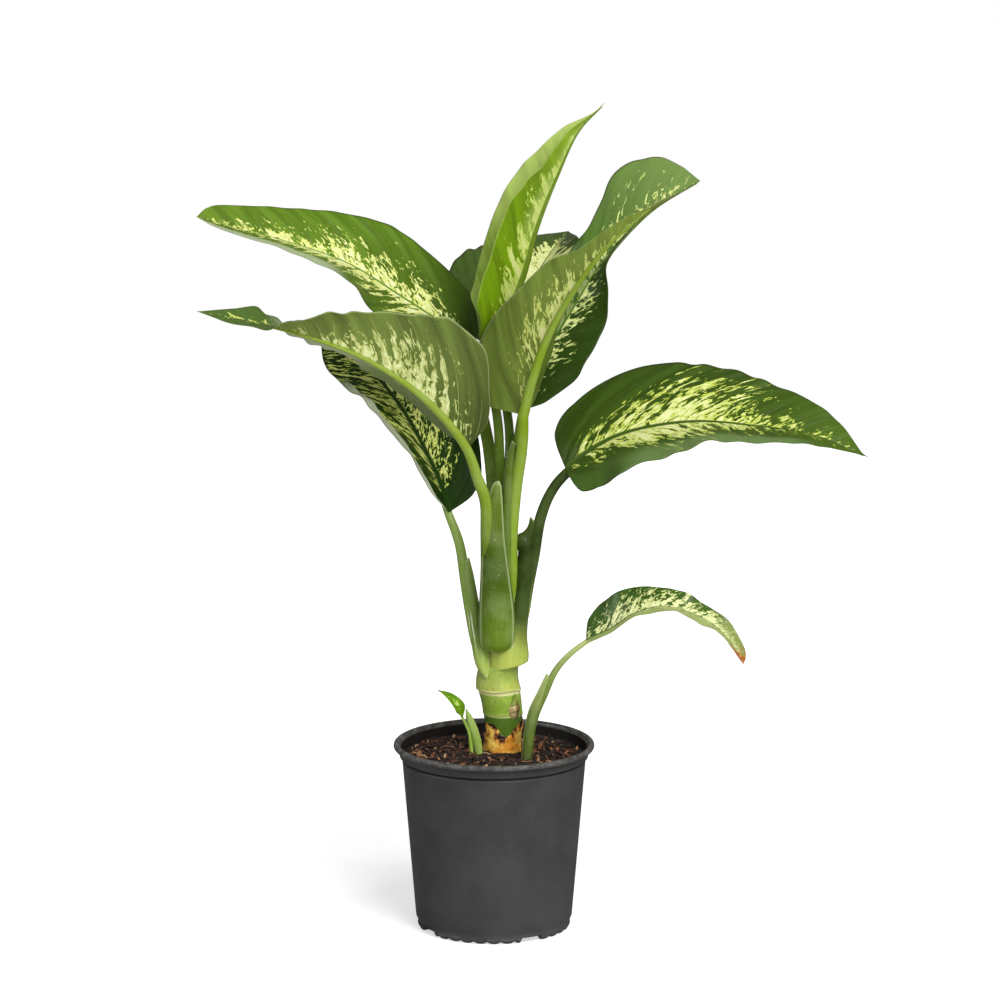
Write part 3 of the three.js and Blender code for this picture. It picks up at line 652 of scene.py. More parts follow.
LOOK_DEFAULTS = dict(
    under=FRESH, first=0.0, slope=1.0, ribbed=0.0, veins=0.1, raised=1.0, base_shade=0.0, tip_sheen=0.0,
    rib_width=1.0, fine=1.0, shaded=(1, 0.0), sheen_and_shade_strips=(), scorch=False, rib=0x8C9C48,
    edge=(0x2C3A18, 0xB0BC88))


def leaf_material(name, look, length, seed):
    """Waxy leaf skin: cream fingers on green above, the same paler below, raised veins and a thin margin."""
    material, tree, shader = new_material(name)
    scale = {0: uv_map(tree, "vein"), "Scale": look["fine"]}
    vein = term(tree, "ShaderNodeVectorMath", scale, operation="SCALE")
    unit_map = uv_map(tree, "unit")
    under = attribute(tree, "under")
    masks = placed(tree, VARIEGATION, {
        "Vein": vein, "Unit": unit_map, "Length": length * CM_PER_MM * look["fine"], "First": look["first"],
        "Last": look["last"], "Reach Left": look["reach"][0], "Reach Right": look["reach"][1],
        "Blobs Left": look["blobs"][0], "Blobs Right": look["blobs"][1], "Slope": look["slope"],
        "Rough": look["rough"], "Fill": look["fill"], "Ribbed": look["ribbed"], "Seed": seed})
    share, lateral, _ = separate(unit_map)
    half, amount = look["shaded"]
    shaded = remap(lateral * half, 0.0, 0.06, 0.0, amount)
    faces = []
    for side, cream_share, vein_share in (("top", 1.0, 0.04), ("under", 0.85, look["veins"])):
        green, fringe, cream, pale = (srgb(code) for code in look[side])
        deep = darker(green, LEAF_SHADE)
        # Painted shade: darker towards the leaf's base, and over the shaded half.
        base = remap(share, 0.05, 0.5, look["base_shade"], 0.0)
        colour = blend(masks["Shade"], deep, green)
        colour = blend(base.math("MAXIMUM", shaded), colour, darker(deep, LEAF_SHADE ** 2))
        # Painted sheen: the fringe tone grows towards the tip.
        colour = blend(remap(share, 0.5, 1.0, 0.0, look["tip_sheen"]), colour, fringe)
        colour = blend(masks["Fringe"] * 0.55, colour, fringe)
        colour = blend(masks["Main Veins"] * vein_share, colour, cream)
        faces.append(blend(masks["Cream"] * cream_share, colour, blend(masks["Heart"], cream, pale)))
    colour = blend(under, *faces)
    # Each strip paints a band: most a sheen along a curled margin, some shade on a fold.
    for half, inner, outer, first, last, tone, strength in look["sheen_and_shade_strips"]:
        band = remap(lateral * half, inner, outer, 0.0, strength)
        band = band * remap(share, first - STRIP_FADE, first)
        colour = blend(band * remap(share, last, last + STRIP_FADE, 1.0, 0.0), colour, tone)
    rib_colour = blend(under, look["top"][0], look["rib"])
    colour = blend(remap(attribute(tree, "rib"), 0.3, 0.7), colour, rib_colour)
    colour = blend(remap(abs(lateral), 0.97, 0.995) * 0.6, colour, blend(under, *look["edge"]))
    if look["scorch"]:
        patch = noise(vein, 1.3, 3.0, 0.6)
        near_tip = remap(share, 0.8, 0.97, 0.0, 0.4)
        near_edge = remap(lateral, 0.1, 1.0, 0.0, 0.22)
        colour = blend(remap(patch + near_tip + near_edge, 0.84, 0.92), colour, 0xB4642A)
    gloss = blend_value(under, remap(masks["Shade"], 0.0, 1.0, 0.3, 0.4), 0.5)
    veins = masks["Main Veins"] + masks["Fine Veins"] * 0.25
    veins = veins * remap(under, 0.0, 1.0, -0.6, 1.0, smooth=False)
    grain = noise(object_coords(tree), 900.0)
    finish_surface(shader, colour, gloss, veins + grain * 0.3, 0.5, 0.0005, specular=0.2)
    return material


def upper_face(leaf, shares, along):
    """The direction that the blade's upper face looks in, square to the midrib."""
    face = monotone(leaf["face"], shares)
    return unit(face - (face * along).sum(-1, keepdims=True) * along)


def blade_surface(leaf, shares, columns):
    """The blade's middle surface.

    A point stands on the midrib's curve, plus its half's outward distance along the across direction,
    plus its lift along the face direction. Each half leaves the midrib at its rise angle and bends as an
    arc: out = w / c (sin(f + c v) - sin f), lift = -w / c (cos(f + c v) - cos f), for width w, rise f,
    curl c and column v. A wave grows as the square of v, and the base sweeps back.
    """
    middle, length = route(leaf["midrib"], shares)
    along = unit(np.gradient(middle, axis=0))
    up = upper_face(leaf, shares, along)
    across = np.cross(along, up)
    s = shares[:, None]
    v = np.abs(columns)[None, :]
    right = columns[None, :] >= 0
    halves = [monotone(leaf[side], shares) for side in ("right", "left")]
    width, rise = (np.where(right, halves[0][:, i:i + 1], halves[1][:, i:i + 1]) for i in (0, 1))
    width = np.maximum(width, BLADE_END_WIDTH)
    rise = np.radians(rise)
    turned = rise + BLADE_CURL * v
    count, phase = (np.where(right, *pair) for pair in zip(RIGHT_WAVES, LEFT_WAVES))
    fade = np.minimum(1, 2 * np.sin(np.pi * s))
    wave = leaf["wave"] * np.sin(2 * np.pi * (count * s + phase)) * v ** 2 * fade
    out = width / BLADE_CURL * (np.sin(turned) - np.sin(rise)) - np.sin(turned) * wave
    lift = -width / BLADE_CURL * (np.cos(turned) - np.cos(rise)) + np.cos(turned) * wave
    back = leaf["sweep"] * width * v ** 1.5 * np.exp(-s / BLADE_BACK_REACH)
    out = np.where(right, out, -out)
    points = (middle[:, None] + out[..., None] * across[:, None]
              + lift[..., None] * up[:, None] - back[..., None] * along[:, None])
    return points, length, width


def blade_piece(name, leaf, look, seed):
    """A blade as a closed thin solid.

    Its stations crowd towards both ends and its columns towards the midrib. The side veins lift the
    surface in low waves, the midrib is a groove above and a ridge below, and the wall thins to the margin.
    """
    steps = np.linspace(0, 1, leaf["stations"])
    shares = steps - STATION_CROWDING * np.sin(2 * np.pi * steps)
    half = np.linspace(0, 1, leaf["half_columns"] + 1) ** COLUMN_CROWDING
    columns = np.concatenate([-half[:0:-1], half])
    points, length, width = blade_surface(leaf, shares, columns)
    normal = unit(np.cross(np.gradient(points, axis=1), np.gradient(points, axis=0)))
    s = shares[:, None]
    v = np.abs(columns)[None, :]
    side = np.sign(columns)[None, :]
    lateral = width * v
    taper = leaf["rib_scale"] * (1 - s * (1 - RIB_TIP_SHARE))
    rib = bell(lateral, RIB_HALF_WIDTH * taper)
    rib_tone = bell(lateral, RIB_HALF_WIDTH * taper * look["rib_width"])
    narrow = np.clip(width / SMOOTH_BELOW, 0, 1) ** 2
    ahead = s * length - lateral / math.tan(VEIN_ANGLE) - VEIN_BEND * lateral ** 2
    place = np.stack([ahead, lateral * side, np.zeros_like(ahead)], axis=-1)
    uneven = value_noise(place, FOLD_PATCH, seed) * 2
    ahead = ahead + lumps(place, VEIN_WANDER, VEIN_WANDER_SIZE, seed + 20)
    fade = np.clip(lateral / RELIEF_START, 0, 1) * np.clip((1 - v) / RELIEF_END_SHARE, 0, 1)
    between_veins = np.abs(np.mod(ahead / MAIN_VEIN_SPACING + 0.5, 1) - 0.5)
    raised = look["raised"] * VEIN_RELIEF * leaf["rib_scale"]
    relief = -raised * (2 * bell(between_veins, VEIN_RIDGE_SHARE) - 0.6) * fade
    folds = np.cos(2 * np.pi * ahead / FOLD_SPACING + 3 * uneven) * uneven
    folds = look["fold"] * leaf["rib_scale"] * folds * v ** 1.2 * np.sin(np.pi * steps)[:, None]
    frill = np.sin(2 * np.pi * FRILLS * s + side)
    frill = FRILL_SHARE * leaf["wave"] * frill * v ** 5 * np.sin(np.pi * s)
    ripple = (relief + folds + frill) * narrow
    thick = BLADE_EDGE_THICKNESS + (BLADE_THICKNESS - BLADE_EDGE_THICKNESS) * (1 - columns[None, :] ** 2)
    thick = thick * np.clip(width / THIN_BELOW, 0.15, 1)
    groove = GROOVE_DEPTH * taper * rib * narrow
    skins = [points + normal * (ripple + offset - groove)[..., None] for offset in (thick / 2, -thick / 2)]
    rows, across = len(shares), len(columns)
    count = rows * across
    top = grid_quads(rows, across)
    index = np.arange(count).reshape(rows, across)
    edge = np.concatenate([index[0], index[1:, -1], index[-1, -2::-1], index[-2:0:-1, 0]])
    after = np.roll(edge, -1)
    rim = np.stack([edge, after, after + count, edge + count], axis=-1)
    vein = np.stack([ahead, lateral / math.sin(VEIN_ANGLE)], axis=-1) * CM_PER_MM
    flat = np.stack(np.broadcast_arrays(s, columns[None, :]), axis=-1)
    return add_piece(
        name + "_blade", skins, [top[:, ::-1], top + count, rim[:, ::-1]],
        leaf_material(name + "_skin", look, length, seed),
        [name],
        uvs={"vein": np.tile(vein.reshape(-1, 2), (2, 1)), "unit": np.tile(flat.reshape(-1, 2), (2, 1))},
        values={"under": np.repeat([0.0, 1.0], count), "rib": np.tile(rib_tone.ravel(), 2)})


# Stalks: points from the blade down to the root, the petiole's radii at even shares of them, and the
# midrib's radii at even shares from the blade's base to its tip. A sheath is its own line of points with
# radii (x, y, z, radius), the bearings of its free edges (degrees from the right-hand side towards the
# front), how far its top leans up to the right and its tail too, its darkness against the petiole, and the
# share of its length that is rounded off below.
STALKS = {
    "stalk_left": dict(
        leaf="leaf_left",
        path=[(-6.8, -22, 374), (-6, -20.5, 345), (-4.8, -14.5, 305), (-2, -12, 278), (1, -10, 255)],
        petiole=[4.8, 5.0, 5.4, 5.9, 6.4, 6.0], rib=[4.6, 3.6, 2.6, 1.9, 1.3, 0.8, 0.4],
        sheath=dict(line=[(2.2, -17, 389, 1.6), (2, -17, 386, 3.6), (1.6, -17, 379, 5.2),
                          (0.4, -16.5, 362, 7.6), (-0.2, -16, 335, 10.2), (1.2, -15.5, 305, 12.8),
                          (2.4, -14, 275, 15.2), (2.4, -12, 254, 15.0), (2.0, -9, 241, 13.8)],
                    free=(28, 152), lean=0.5, tail=0.0, dark=1.0, toe=0.08)),
    "stalk_front": dict(
        leaf="leaf_front",
        path=[(23.5, -18, 416), (19, -12, 385), (15.5, -7, 345), (15, -3, 292), (12, 0, 245)],
        petiole=[4.6, 4.8, 4.9, 4.8, 4.8, 5.0], rib=[4.6, 3.8, 3.0, 2.2, 1.4, 0.6],
        sheath=dict(line=[(17.2, -16, 422, 1.6), (15, -13.5, 408, 3.4), (13.2, -10, 385, 5.4),
                          (11, -6, 350, 7.0), (9.5, -3, 315, 8.0), (9, 0, 270, 8.6), (8, 2, 240, 9.0)],
                    free=(190,), lean=-1.0, tail=0.0, dark=1.0, toe=0.03)),
    "stalk_right": dict(
        leaf="leaf_right",
        path=[(51, -3, 384), (44, -3, 370), (38.3, -3, 352), (33.6, -3, 323), (28.8, -2, 298),
              (24.6, 0, 273), (19, 0, 251), (14, -2, 236)],
        petiole=[4.2, 4.4, 4.8, 5.0, 5.2, 5.6, 5.6], rib=[4.0, 3.0, 2.3, 1.7, 1.2, 0.8, 0.4],
        sheath=dict(line=[(32.4, -4.5, 354, 1.6), (31.4, -4.5, 345, 2.8), (29.2, -4, 338, 5.2),
                          (26.6, -3.5, 332.5, 8.2), (28.0, -3, 326, 7.4), (27.2, -2.5, 312, 7.6),
                          (23.5, -1, 286, 7.8), (19.5, 0, 263, 9.2), (14.5, 0, 248, 14.8),
                          (12.2, -1, 238, 17.4), (11.5, -1.5, 225, 17.4)],
                    free=(185,), lean=-1.2, tail=0.3, dark=0.0, toe=0.02)),
    "stalk_lower_left": dict(
        leaf="leaf_lower_left",
        path=[(-29, 28, 325), (-24.6, 22, 297), (-20, 12, 270), (-15, -2, 247), (-9, -10, 230)],
        petiole=[3.5, 4.1, 4.4, 4.6, 4.6, 3.5], rib=[3.5, 2.8, 2.2, 1.6, 1.1, 0.7, 0.4],
        sheath=dict(line=[(-23.2, 24, 312, 1.8), (-21.4, 20, 297, 4.0), (-17.2, 11, 270, 5.6),
                          (-12.4, -3, 246, 6.6), (-9.6, -10.8, 231, 6.0), (-6.4, -15.6, 219, 2.8)],
                    free=(8,), lean=1.5, tail=0.0, dark=0.3, toe=0.12)),
    "stalk_low": dict(
        leaf="leaf_low",
        path=[(62, -40, 245), (51.5, -37, 231), (42.5, -33, 210), (34, -30, 189), (29, -28, 165),
              (25, -26, 138)],
        petiole=[2.1, 2.5, 3.0, 3.5, 3.9, 4.0], rib=[2.1, 1.7, 1.4, 1.1, 0.8, 0.5, 0.3],
        sheath=dict(line=[(45.6, -36.5, 226, 1.0), (39.6, -34, 210, 2.4), (33, -32, 193, 3.8),
                          (30, -30, 175, 4.4), (28, -27.8, 155, 4.4), (26.5, -26, 138, 4.0)],
                    free=(175,), lean=-2.4, tail=0.0, dark=0.6, toe=0.02)),
    "shoot_stalk": dict(
        leaf="shoot_leaf", path=[(-21, -17, 173), (-19, -16, 157), (-18, -16, 135)],
        petiole=[1.0, 1.3, 1.9, 2.0], rib=[1.0, 0.6, 0.3]),
    "shoot_rolled_leaf": dict(
        path=[(-23.5, -12, 191.5), (-20, -12, 181), (-15, -12, 165), (-12, -12, 147), (-12, -12, 130)],
        petiole=[0.4, 3.4, 4.2, 4.0, 3.2, 3.0, 3.0]),
    "inner_young": dict(
        leaf="leaf_young", path=[(-4, 5, 471), (3, 6, 437), (5, 8, 386), (5, 9, 317), (5, 8, 224)],
        petiole=[3.5, 3.8, 4.2, 4.5, 6, 7], rib=[3.5, 2.8, 2.2, 1.6, 1.0, 0.4]),
    "inner_upper_left": dict(
        leaf="leaf_upper_left",
        path=[(-12, 38, 448), (-4, 30, 406), (0, 21, 365), (1, 14, 316), (3, 9, 224)],
        petiole=[3.8, 4.8, 5.4, 5.6, 6.5, 7], rib=[3.8, 3.0, 2.3, 1.7, 1.2, 0.8, 0.4]),
    "inner_back": dict(
        leaf="leaf_back", path=[(8, 46, 454), (13, 33, 421), (12, 21, 382), (10, 15, 316), (8, 9, 224)],
        petiole=[3.6, 3.8, 4, 4.5, 6, 7], rib=[3.6, 2.8, 2.2, 1.6, 1.0, 0.4]),
    "inner_upper_right": dict(
        leaf="leaf_upper_right", path=[(19, 18, 409), (16, 13, 367), (13, 11, 307), (9, 9, 224)],
        petiole=[3.7, 4, 4.5, 6, 7], rib=[3.7, 2.9, 2.3, 1.7, 1.1, 0.4]),
}
INNER = [name for name in STALKS if name.startswith("inner_")]

# The tones of a stalk at the blade, halfway and at the root, its pale tone, and the share of its flecks.
STALK_TONES = {
    "stalk_left": (0x90A830, 0x627F18, 0x6C8A1C, 0xC4D498, 0.2),
    "stalk_front": (0x8CA820, 0x8CAA28, 0x7C9A24, 0xC8D69A, 0.1),
    "stalk_right": (0x2A3810, 0x324614, 0xC2D060, 0x90A85C, 0.0),
    "stalk_lower_left": (0x94B04C, 0x7E9E3A, 0xB4C860, 0xD0DAA8, 0.1),
    "stalk_low": (0xC0CE80, 0x6C8626, 0x222C06, 0xC8D498, 0.2),
    "shoot_stalk": (0x8FB434, 0x9CBC40, 0xB4C858, 0xD8E0A8, 0.0),
    "shoot_rolled_leaf": (0x92B24C, 0xA2BC5E, 0xBACA74, 0xD8E0A8, 0.0),
}
# The inner stalks are darker than the outer ones: their tones carry painted shade between the stalks.
INNER_SHADED_TONES = (0x6E8A14, 0x4E6A10, 0x4C6810, 0xB4C67C, 0.1)
AROUND = 72
RINGS = 110
RIB_RINGS = 90
RIB_TIP = 0.985
RIB_FADE = 18.0
EAR_REACH = 16.0
TAIL_REACH = 12.0
LIP_WIDTH = 1.2
LIP_HEIGHT = 0.5
PALE_TOP = 1.0
PALE_TOE = 1.2
SHEATH_TONE_START = 0.35
DARK_END = 0.85
DARK_FADE = 0.35


def swept(centre, radius, bearing):
    """Rings round a line of centres.

    Bearing 0 is the right-hand side and 90 degrees the front, where the line runs down.
    """
    along = unit(np.gradient(centre, axis=0))
    side = unit(np.cross(along, np.array([0.0, 1.0, 0.0])))
    front = np.cross(along, side)
    return (centre[:, None] + (radius * np.cos(bearing))[..., None] * side[:, None]
            + (radius * np.sin(bearing))[..., None] * front[:, None])


def stalk_line(stalk):
    """Centres and radii from the blade's tip, under its midrib, and on down the petiole.

    Under the blade the centre lies below the midrib by its radius and a little more. That offset fades
    out below the blade as the exponential of minus the distance.
    """
    steps = np.linspace(0, 1, RINGS)
    path_radius = monotone(even_keys(stalk["petiole"]), steps)[:, 0]
    if "leaf" not in stalk:
        return route(stalk["path"], steps)[0], path_radius
    leaf = LEAVES[stalk["leaf"]]
    shares = np.linspace(RIB_TIP, 0, RIB_RINGS)
    middle, _ = route(leaf["midrib"], shares)
    up = upper_face(leaf, shares, unit(-np.gradient(middle, axis=0)))
    rib = monotone(even_keys(stalk["rib"]), shares)[:, 0]
    petiole, length = route([leaf["midrib"][0]] + stalk["path"], steps)
    drop = np.exp(-steps * length / RIB_FADE) * (rib[-1] + RIB_SINK)
    petiole = petiole - drop[:, None] * up[-1]
    centre = np.concatenate([middle - (rib + RIB_SINK)[:, None] * up, petiole[1:]])
    return centre, np.concatenate([rib, path_radius[1:]])


def sheath_tube(sheath, bearing):
    """Points, pale edge, darkness and share of a sheath.

    Rings turn about its line. They rise on one side by lean times the radius times the bearing's cosine,
    fading as the exponential of minus the distance, which leaves a pointed ear. Each free edge is a lip of
    bell-shaped section, and the bottom is rounded off as an ellipse.
    """
    shares = np.linspace(0, 1, RINGS)
    line, length = route(sheath["line"], shares)
    toe = np.sqrt(1 - np.clip((shares - 1 + sheath["toe"]) / sheath["toe"], 0, 0.99) ** 2)
    radius = (line[:, 3] * toe)[:, None]
    from_edges = [off_bearing(bearing, math.radians(free)) for free in sheath["free"]]
    away = np.min(from_edges, axis=0) * radius
    points = swept(line[:, :3], radius + LIP_HEIGHT * bell(away, LIP_WIDTH) * toe[:, None], bearing)
    reach = (shares * length)[:, None]
    rise = sheath["lean"] * np.exp(-reach / EAR_REACH)
    rise = rise + sheath["tail"] * np.exp((reach - length) / TAIL_REACH)
    points[..., 2] += rise * radius * np.cos(bearing)
    ends = np.maximum(np.exp(-reach / PALE_TOP), np.exp(-(1 - shares[:, None]) * length / PALE_TOE))
    edge = np.maximum(np.exp(-(away / LIP_WIDTH) ** 4), ends)
    dark = sheath["dark"] * np.clip((DARK_END - shares) / DARK_FADE, 0, 1)[:, None]
    return points, edge, dark, SHEATH_TONE_START + (1 - SHEATH_TONE_START) * shares


def stalk_piece(name, members, tones, replaced):
    """One piece of one or more stalks: the petiole of each with its midrib, and its sheath."""
    bearing = bearings(AROUND)[None, :]
    tubes = []
    for stalk in (STALKS[member] for member in members):
        centre, radius = stalk_line(stalk)
        tubes.append((swept(centre, radius[:, None], bearing), 0.0, 0.0, np.linspace(0, 1, len(centre))))
        if "sheath" in stalk:
            tubes.append(sheath_tube(stalk["sheath"], bearing))
    faces, rows = [], []
    total = 0
    for place, edge, dark, share in tubes:
        faces.extend(tube_faces(len(place), AROUND, total, reverse=True))
        total += len(place) * AROUND
        row = (edge, dark, share[:, None], bearing * 0.6, place[:, :1, 2] * CM_PER_MM)
        given = [np.broadcast_to(numbers, place.shape[:2])[..., None] for numbers in row]
        rows.append(np.concatenate([place, *given], axis=-1).reshape(-1, 8))
    table = np.concatenate(rows)
    return add_piece(name, table[:, :3], faces, stalk_material(name, *tones), replaced,
                     uvs={"grain": table[:, 6:]},
                     values={"edge": table[:, 3], "share": table[:, 5], "wing": table[:, 4]})


def stalk_material(name, top, middle, root, pale, fleck):
    """Waxy stalk: green that changes towards the root, long fine streaks, a darker wing with a pale edge."""
    material, tree, shader = new_material(name)
    share = attribute(tree, "share")
    around, along, _ = separate(uv_map(tree, "grain"))
    fibre = noise(combine(around * 7.0, along * 0.35, 0.0), 1.0, 3.0, 0.6)
    masks = mottled(object_coords(tree), 45.0, 520.0, 0.7)
    colour = blend(remap(share, 0.4, 0.75), top, middle)
    colour = blend(remap(share, 0.74, 1.0), colour, root)
    dark_inputs = {0: 1.0, 6: colour, 7: (0.36, 0.42, 0.22, 1.0)}
    dark = term(tree, "ShaderNodeMix", dark_inputs, 2, data_type="RGBA", blend_type="MULTIPLY")
    colour = blend(remap(fibre, 0.35, 0.65, 0.18, 0.0), colour, dark)
    colour = blend(attribute(tree, "wing"), colour, dark)
    colour = blend(masks["Blotch"] * 0.15, colour, pale)
    colour = blend(masks["Speck"] * fleck, colour, 0xE6EDC4)
    colour = blend(attribute(tree, "edge") * 0.6, colour, pale)
    gloss = remap(fibre, 0.3, 0.7, 0.2, 0.3)
    finish_surface(shader, colour, gloss, fibre + masks["Grain"], 0.08, 0.0004, specular=0.3)
    return material


# Cane and bud, in millimetres. Each node of the cane has a height and a step.
CANE_PATH = [(4, 0, 228), (3, 0, 214), (6, 0, 197), (8, 0, 179), (7, 0, 151), (7, 0, 118), (7, 0, 96)]
CANE_RADII = [16.5, 17.6, 16.2, 15.2, 15.8, 16.3, 15]
CANE_RINGS = 300
CANE_AROUND = 144
UPPER_NODE = 206.0
LOWER_NODE = 185.5
NODE_STEPS = ((UPPER_NODE, 1.6), (LOWER_NODE, 0.5))
NODE_SLOPE = 0.5
NODE_FADE = 9.0
NODE_LINE_HEIGHT = 0.5
NODE_LINE_WIDTH = 0.9
NODE_TILT = 1.4
NODE_WAVE = 0.5
CORK_TOP = 181.0
CORK_SHADE = 24.0
LOBE_DROP = 12.0
LOBE_BEARING = math.radians(-84)
LOBE_HALF_ANGLE = math.radians(30)
BUD_PATH = [(17.5, -15, 206), (17.4, -14.5, 198), (16.4, -12.5, 190), (15.2, -10, 183)]
BUD_RADII = [0.3, 1.6, 3.6, 5.0, 5.0, 3.4]
BUD_RINGS = 60
BUD_AROUND = 48
BUD_LAPS = 3.2
BUD_STEP = 0.13


def cane_piece():
    """The cane: rings round its route.

    At each node the radius steps down below a thin raised line. Its cork ends at a height that drops
    under one green lobe as a bell curve of the bearing, and swells in lumps.
    """
    shares = np.linspace(0, 1, CANE_RINGS)
    centre, _ = route(CANE_PATH, shares)
    radius = monotone(even_keys(CANE_RADII), shares)
    turn = np.linspace(-np.pi, np.pi, CANE_AROUND, endpoint=False)
    height = centre[:, 2:] + NODE_TILT * np.sin(turn)[None, :] + NODE_WAVE * np.sin(3 * turn + 1)[None, :]
    for level, step in NODE_STEPS:
        offset = height - level
        fade = np.exp(-np.clip(offset, 0, None) / NODE_FADE)
        radius = radius + step / (1 + np.exp(-offset / NODE_SLOPE)) * fade
        radius = radius + NODE_LINE_HEIGHT * bell(offset, NODE_LINE_WIDTH)
    direction = spokes(turn)[None]
    points = centre[:, None] + radius[..., None] * direction
    lobe = LOBE_DROP * bell(turn - LOBE_BEARING, LOBE_HALF_ANGLE)
    ragged = lumps(points, 2.5, 3.0, 6) + lumps(points, 4.0, 9.0, 7)
    under = (CORK_TOP - lobe)[None, :] + ragged - points[..., 2]
    cork = np.clip(under / 1.5, 0, 1)
    swell = 1.6 * (value_noise(points, 7.0, 3) - 0.4) + lumps(points, 0.7, 2.2, 4)
    points = points + direction * (cork * (swell + 0.5) + lumps(points, 0.5, 14.0, 5))[..., None]
    return add_piece("cane_skin", points, tube_faces(CANE_RINGS, CANE_AROUND), cane_material(),
                     ["cane"], values={"cork": cork, "under": np.clip(under / CORK_SHADE, 0, 1)})


def cane_material():
    """Pale green cane with pale node lines, darker green low down, and an orange, torn, corky foot."""
    material, tree, shader = new_material("cane_bark")
    place = object_coords(tree)
    x, y, z = separate(place)
    cork = attribute(tree, "cork")
    masks = mottled(place, 70.0, 420.0, 0.66)
    streaks = noise(combine(x * 6.0, y * 6.0, z), 60.0, 3.0, 0.6)
    upper = UPPER_NODE * MM
    lower = LOWER_NODE * MM
    colour = blend(masks["Blotch"], 0xB4C052, 0xCCD66C)
    colour = blend(remap(streaks, 0.4, 0.65, 0.0, 0.3), colour, 0x8CA03C)
    colour = blend(remap(z, upper + 0.004, upper + 0.016, 0.0, 0.7), colour, 0x8CAA40)
    green = blend(masks["Blotch"], 0x86A82C, 0x9CBC48)
    colour = blend(remap(z, upper - 0.0035, upper - 0.0005, 0.9, 0.0), colour, green)
    colour = blend(remap(z, lower - 0.002, lower - 0.0005, 1.0, 0.0) * 0.9, colour, 0x486A16)
    colour = blend(masks["Speck"] * 0.5, colour, 0x4A4416)
    for level, half_width in ((upper, 0.0028), (lower, 0.0010)):
        line = remap(abs(z - level), half_width * 0.5, half_width, 0.85, 0.0)
        colour = blend(line, colour, 0xE8E6A4)
    patch = noise(place, 110.0, 4.0, 0.65)
    torn = noise(combine(x * 1.3, y * 1.3, z), 120.0, 4.0, 0.7)
    worn = torn - attribute(tree, "under") * 0.26 + remap(x, -0.012, 0.012, 0.07, -0.03)
    tears = remap(worn, 0.46, 0.5)
    tan = blend(remap(patch, 0.36, 0.6), 0xE09222, 0xFFD25C)
    tan = blend(remap(worn, 0.36, 0.46, 0.0, 0.85), tan, 0xA8501A)
    tan = blend(tears, tan, 0x2A1408)
    colour = blend(remap(cork, 0.2, 0.8), colour, tan)
    bumps = masks["Grain"] - cork * tears * 1.5
    finish_surface(shader, colour, remap(cork, 0.0, 1.0, 0.4, 0.65), bumps, 0.5, 0.0008)
    return material


def bud_piece():
    """The bud: a pointed drop of overlapping scales, each a step outward in radius that winds round it."""
    shares = np.linspace(0, 1, BUD_RINGS)
    centre, _ = route(BUD_PATH, shares)
    turn = bearings(BUD_AROUND)
    lap = np.mod(shares[:, None] * BUD_LAPS + turn[None, :] / (2 * np.pi), 1.0)
    radius = monotone(even_keys(BUD_RADII), shares) * (1 + BUD_STEP * (lap - 0.5))
    points = centre[:, None] + radius[..., None] * spokes(turn)[None]
    return add_piece("bud_scales", points, tube_faces(BUD_RINGS, BUD_AROUND), bud_material(),
                     ["bud"], values={"lap": lap})


def bud_material():
    """Dry scales: tan with a green tip, a brown flank, brown specks and a dark line at each lap."""
    material, tree, shader = new_material("bud_scale")
    place = object_coords(tree)
    x, _, z = separate(place)
    masks = mottled(place, 160.0, 700.0, 0.6)
    colour = blend(masks["Blotch"], 0xA88A4C, 0xDCCB92)
    colour = blend(remap(z, 0.193, 0.199), colour, 0x7E9A30)
    colour = blend(remap(x, 0.017, 0.0205, 0.0, 0.8), colour, 0x6A3A18)
    colour = blend(masks["Speck"] * 0.6, colour, 0x6A4422)
    colour = blend(remap(attribute(tree, "lap"), 0.0, 0.2, 0.85, 0.0), colour, 0x4A3416)
    finish_surface(shader, colour, 0.6, masks["Grain"], 0.4, 0.0005)
    return material


def wall_radius(height):
    """The pot's outer radius at a height below the step."""
    return FOOT_RADIUS + (WALL_TOP_RADIUS - FOOT_RADIUS) * height / STEP_HEIGHT


def rounded(*corners):
    """A profile through corners (radius, height, rounding), each an arc of four points.

    The last corner leads back to the first.
    """
    corners = np.array(corners, float)
    result = []
    for i, (radius, height, bend) in enumerate(corners):
        here = np.array([radius, height])
        before = corners[i - 1, :2] - here
        after = corners[(i + 1) % len(corners), :2] - here
        reach = min(bend, np.linalg.norm(before) / 2.1, np.linalg.norm(after) / 2.1)
        start = here + unit(before) * reach
        end = here + unit(after) * reach
        for t in np.linspace(0, 1, 4):
            result.append((1 - t) ** 2 * start + 2 * t * (1 - t) * here + t * t * end)
    return np.array(result)


def spun(profile, turn):
    """Rings about Z through the points (radius, height) of a profile."""
    radius = profile[:, :1]
    places = np.broadcast_arrays(radius * np.cos(turn), radius * np.sin(turn), profile[:, 1:])
    return np.stack(places, axis=-1)


